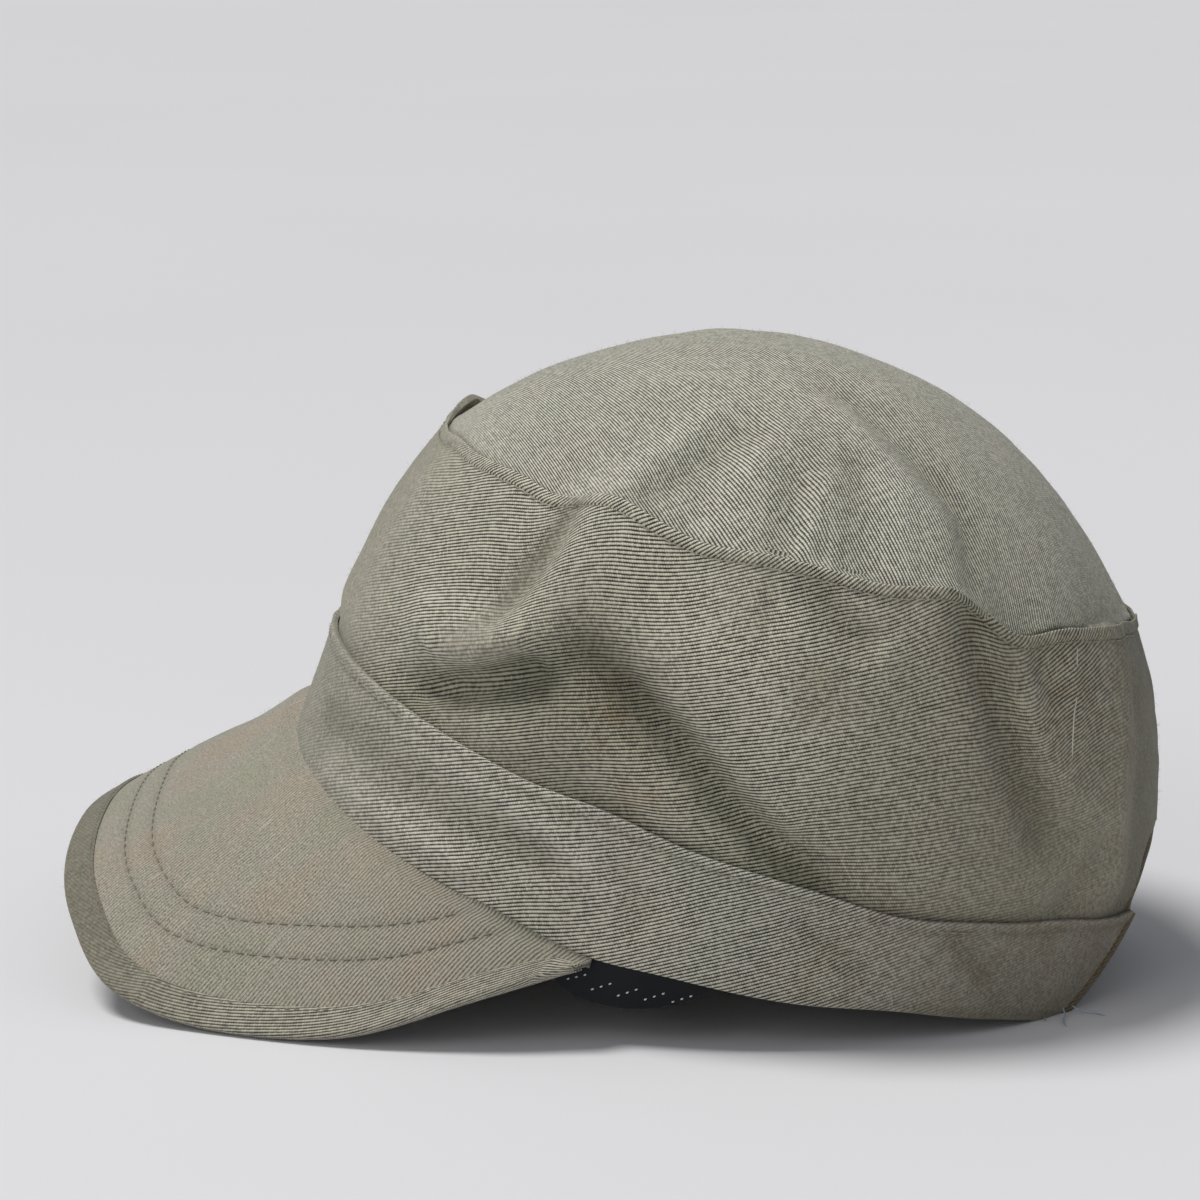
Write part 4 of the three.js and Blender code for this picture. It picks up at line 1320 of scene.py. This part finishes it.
def sew_crown():
    """The rows of stitches below the top seam and below the band's upper edge."""
    at_seam = np.linspace(-172, 172, 900)
    level = 1 - 2.5 / (seam_height(at_seam) - band_top(at_seam))
    seam_line = wall_point(at_seam, level, -0.02)
    at_band = np.linspace(-150, 150, 800)
    band_line = band_point(at_band, band_top(at_band) - 2.2, -0.16)
    rows = [
        ("seam_stitches", at_seam, seam_line, 2.9, 2.2, "crown_cloth"),
        ("band_stitches", at_band, band_line, 2.7, 2.1, "band_cloth"),
    ]
    for name, angles, line, pitch, length, slot in rows:
        spots, directions, normals = spread(line, outwards(angles), pitch)
        stitches = make_stitches(name, spots, directions, normals, length, CROWN_STITCH_THICK)
        finish_piece(stitches, olive_thread, slot)


def make_fibres(name, surface, count, seed, slot):
    """Short loose fibres standing off a piece's outer face, each a thin closed spike."""
    chance = np.random.RandomState(seed)
    mesh = surface.data
    places = np.empty(len(mesh.polygons) * 3)
    normals = np.empty(len(mesh.polygons) * 3)
    areas = np.empty(len(mesh.polygons))
    mesh.polygons.foreach_get("center", places)
    mesh.polygons.foreach_get("normal", normals)
    mesh.polygons.foreach_get("area", areas)
    places, normals = places.reshape(-1, 3), normals.reshape(-1, 3)
    inside_cap = np.array([0.0, 0.02, 0.03])
    outer = ((places - inside_cap) * normals).sum(1) > 0
    weights = np.where(outer, areas, 0)
    chosen = chance.choice(len(places), count, p=weights / weights.sum())
    root = places[chosen] + chance.uniform(-0.0005, 0.0005, (count, 3))
    lean = unit(normals[chosen] + chance.normal(0, 0.75, (count, 3)))
    side = unit(np.cross(lean, chance.normal(0, 1, (count, 3))))
    other = np.cross(lean, side)
    length = chance.uniform(0.0004, 0.0013, (count, 1))
    thick = 0.00003
    corners = [side, -0.5 * side + 0.87 * other, -0.5 * side - 0.87 * other]
    base = [root - lean * 0.0002 + corner * thick for corner in corners]
    points = np.stack([*base, root + lean * length], 1)
    points[..., 2] = np.maximum(points[..., 2], 0.0)
    index = np.arange(count)[:, None, None] * 4
    faces = (index + np.array([[0, 2, 1], [0, 1, 3], [1, 2, 3], [2, 0, 3]])[None]).reshape(-1, 3)
    lint = bpy.data.meshes.new(name)
    lint.from_pydata(points.reshape(-1, 3).tolist(), [], faces.tolist())
    finish_piece(add_object(name, lint), pale_fibre, slot)


def make_strand(name, line, thickness):
    """One thread laid along a line of points, thinning to both ends."""
    line = np.asarray(line, float)
    count = len(line)
    along = unit(np.gradient(line, axis=0))
    side = unit(np.cross(along, [0.3, 0.2, 0.93]))
    up = np.cross(along, side)
    turns = np.radians(np.arange(5) * 72)[None, :, None]
    slim = (thickness / 2 * np.sqrt(np.clip(1 - np.linspace(-1, 1, count) ** 4, 0.02, 1)))[:, None, None]
    rings = line[:, None] + slim * (side[:, None] * np.cos(turns) + up[:, None] * np.sin(turns))
    points = placed(np.concatenate([rings.reshape(-1, 3), line[:1], line[-1:]]))
    index = np.arange(count * 5).reshape(count, 5)
    faces = []
    for k in range(5):
        n = (k + 1) % 5
        faces.extend([index[i, k], index[i, n], index[i + 1, n], index[i + 1, k]] for i in range(count - 1))
        faces.append([count * 5, index[0, n], index[0, k]])
        faces.append([count * 5 + 1, index[-1, k], index[-1, n]])
    mesh = bpy.data.meshes.new(name)
    mesh.from_pydata(points.tolist(), [], [[int(v) for v in face] for face in faces])
    strand = add_object(name, mesh)
    smooth_piece(strand, THREAD_SMOOTHING)
    return strand


def add_loose_threads():
    """The pulled thread near the back of the side wall, and the loose ones at the end of the band."""
    share = np.linspace(0, 1, 24)
    angle = mix(143.6, 139.6, share)
    line = wall_point(angle, mix(0.95, 0.6, share), -0.55)
    line = line + outwards(angle) * (0.45 * rumple(share * 50, 0, 9, 81))[:, None]
    finish_piece(make_strand("pulled_thread", line, 0.34), pale_thread, "crown_cloth")
    for number, (foot_x, foot_y, reach_x, reach_y) in enumerate(LOOSE_THREADS, 1):
        x = foot_x + reach_x * share + 0.8 * np.sin(7 * share) * share
        y = foot_y + reach_y * share + 0.9 * np.sin(5 * share + number) * share
        above_floor = 0.25 + 1.4 * (1 - share) ** 2
        z = (y * math.sin(LEAN) - REST_Z + above_floor) / math.cos(LEAN)
        line = point(x, y, z)
        finish_piece(make_strand(f"loose_thread_{number}", line, 0.42), blue_thread, "hem_cloth")


def sew_sweatband():
    """White stitches in short slanting threes along both sags of the sweatband."""
    for name, side in (("sweatband_stitches_right", -1), ("sweatband_stitches_left", 1)):
        spots, directions, normals = [], [], []
        for angle in np.arange(SAG_AT - 11.5, SAG_AT + 9, 3.4):
            for step in range(3):
                place = np.array(side * (angle + step * 0.95))
                z = float(band_bottom(place)) - 7.6 + step * 1.15 + 0.02 * (angle - SAG_AT) ** 2
                spots.append(band_point(place, z, BAND_THICK + GAP + 0.12))
                directions.append(point(side * cosd(place) * -0.6, 0.75, 0.7))
                normals.append(outwards(place))
        places = [np.array(values) for values in (spots, directions, normals)]
        finish_piece(make_stitches(name, *places, 0.75, 0.4), white_thread, "sweatband_leather")


wall_cloth, wall_seam = make_wall()
wall = finish_piece(wall_cloth, side_cloth, "crown_cloth", "crown_side")
dome = finish_piece(make_dome(wall_seam), top_cloth, "crown_cloth", "crown_top")
band = finish_piece(make_band(), band_cloth, "band_cloth", "band")
peak = finish_piece(make_peak(), peak_cloth, "peak_cloth", "peak")
binding = finish_piece(make_binding(), binding_cloth, "binding_cloth", "peak_binding")
finish_piece(make_sweatband(), sweatband_coat, "sweatband_leather", "sweatband")
finish_piece(make_hem(), hem_cloth, "hem_cloth", "back_hem")
sew_peak()
sew_crown()
sew_sweatband()
add_loose_threads()
make_fibres("crown_side_fibres", wall, 5000, 71, "crown_cloth")
make_fibres("crown_top_fibres", dome, 4000, 72, "crown_cloth")
make_fibres("band_fibres", band, 1800, 73, "band_cloth")
make_fibres("peak_fibres", peak, 1200, 74, "peak_cloth")
make_fibres("binding_fibres", binding, 1200, 75, "binding_cloth")

# The pale floor
bpy.ops.object.select_all(action="DESELECT")
bpy.ops.mesh.primitive_plane_add(size=24, location=(0, 0, 0))
floor = bpy.context.object
floor.name = "studio_floor"
floor.data.materials.append(painted_floor("studio_floor_paint"))

# The photograph's viewing angle: where the camera stands, and its right and up directions
CAMERA_PLACE = (0.97472, 0.08764, 0.28948)
CAMERA_RIGHT = Vector((-0.0957, 0.9953, 0.0118))
CAMERA_UP = Vector((-0.2021, -0.0310, 0.9789))
camera = add_object("camera", bpy.data.cameras.new("camera"))
facing = Matrix((CAMERA_RIGHT, CAMERA_UP, CAMERA_RIGHT.cross(CAMERA_UP))).transposed()
camera.matrix_world = Matrix.Translation(CAMERA_PLACE) @ facing.to_4x4()
camera.data.sensor_width = 36
camera.data.lens = 125.74
camera.data.clip_start = 0.05
camera.data.clip_end = 60
bpy.context.scene.camera = camera


def soft_light(name, place, target, size, power, colour):
    """A square lamp that faces a target."""
    light = bpy.data.lights.new(name, "AREA")
    light.shape = "SQUARE"
    light.size = size
    light.energy = power
    light.color = colour
    lamp = add_object(name, light)
    lamp.location = place
    lamp.rotation_euler = (Vector(target) - Vector(place)).to_track_quat("-Z", "Y").to_euler()


soft_light("fill_light", (1.7, -1.2, 1.3), (0, 0, 0.06), 1.3, 9, (1.0, 0.99, 0.97))
soft_light("low_light", (1.5, -0.2, 0.22), (0, 0, 0.02), 0.8, 2.2, (1.0, 1.0, 1.0))

# One wide overhead light, given by the direction that it comes from
OVERHEAD_FROM = Vector((0.04, -0.37, 0.928))
sky = bpy.data.lights.new("overhead_light", "SUN")
sky.angle = math.radians(20)
sky.energy = 2.38
sky.color = (1.0, 0.99, 0.965)
overhead = add_object("overhead_light", sky)
overhead.rotation_euler = OVERHEAD_FROM.to_track_quat("Z", "Y").to_euler()

world = bpy.data.worlds.new("studio")
world.use_nodes = True
background = world.node_tree.nodes["Background"].inputs
background["Color"].default_value = (0.93, 0.95, 1.0, 1)
background["Strength"].default_value = 0.29
bpy.context.scene.world = world
bpy.context.scene.view_settings.view_transform = "Standard"
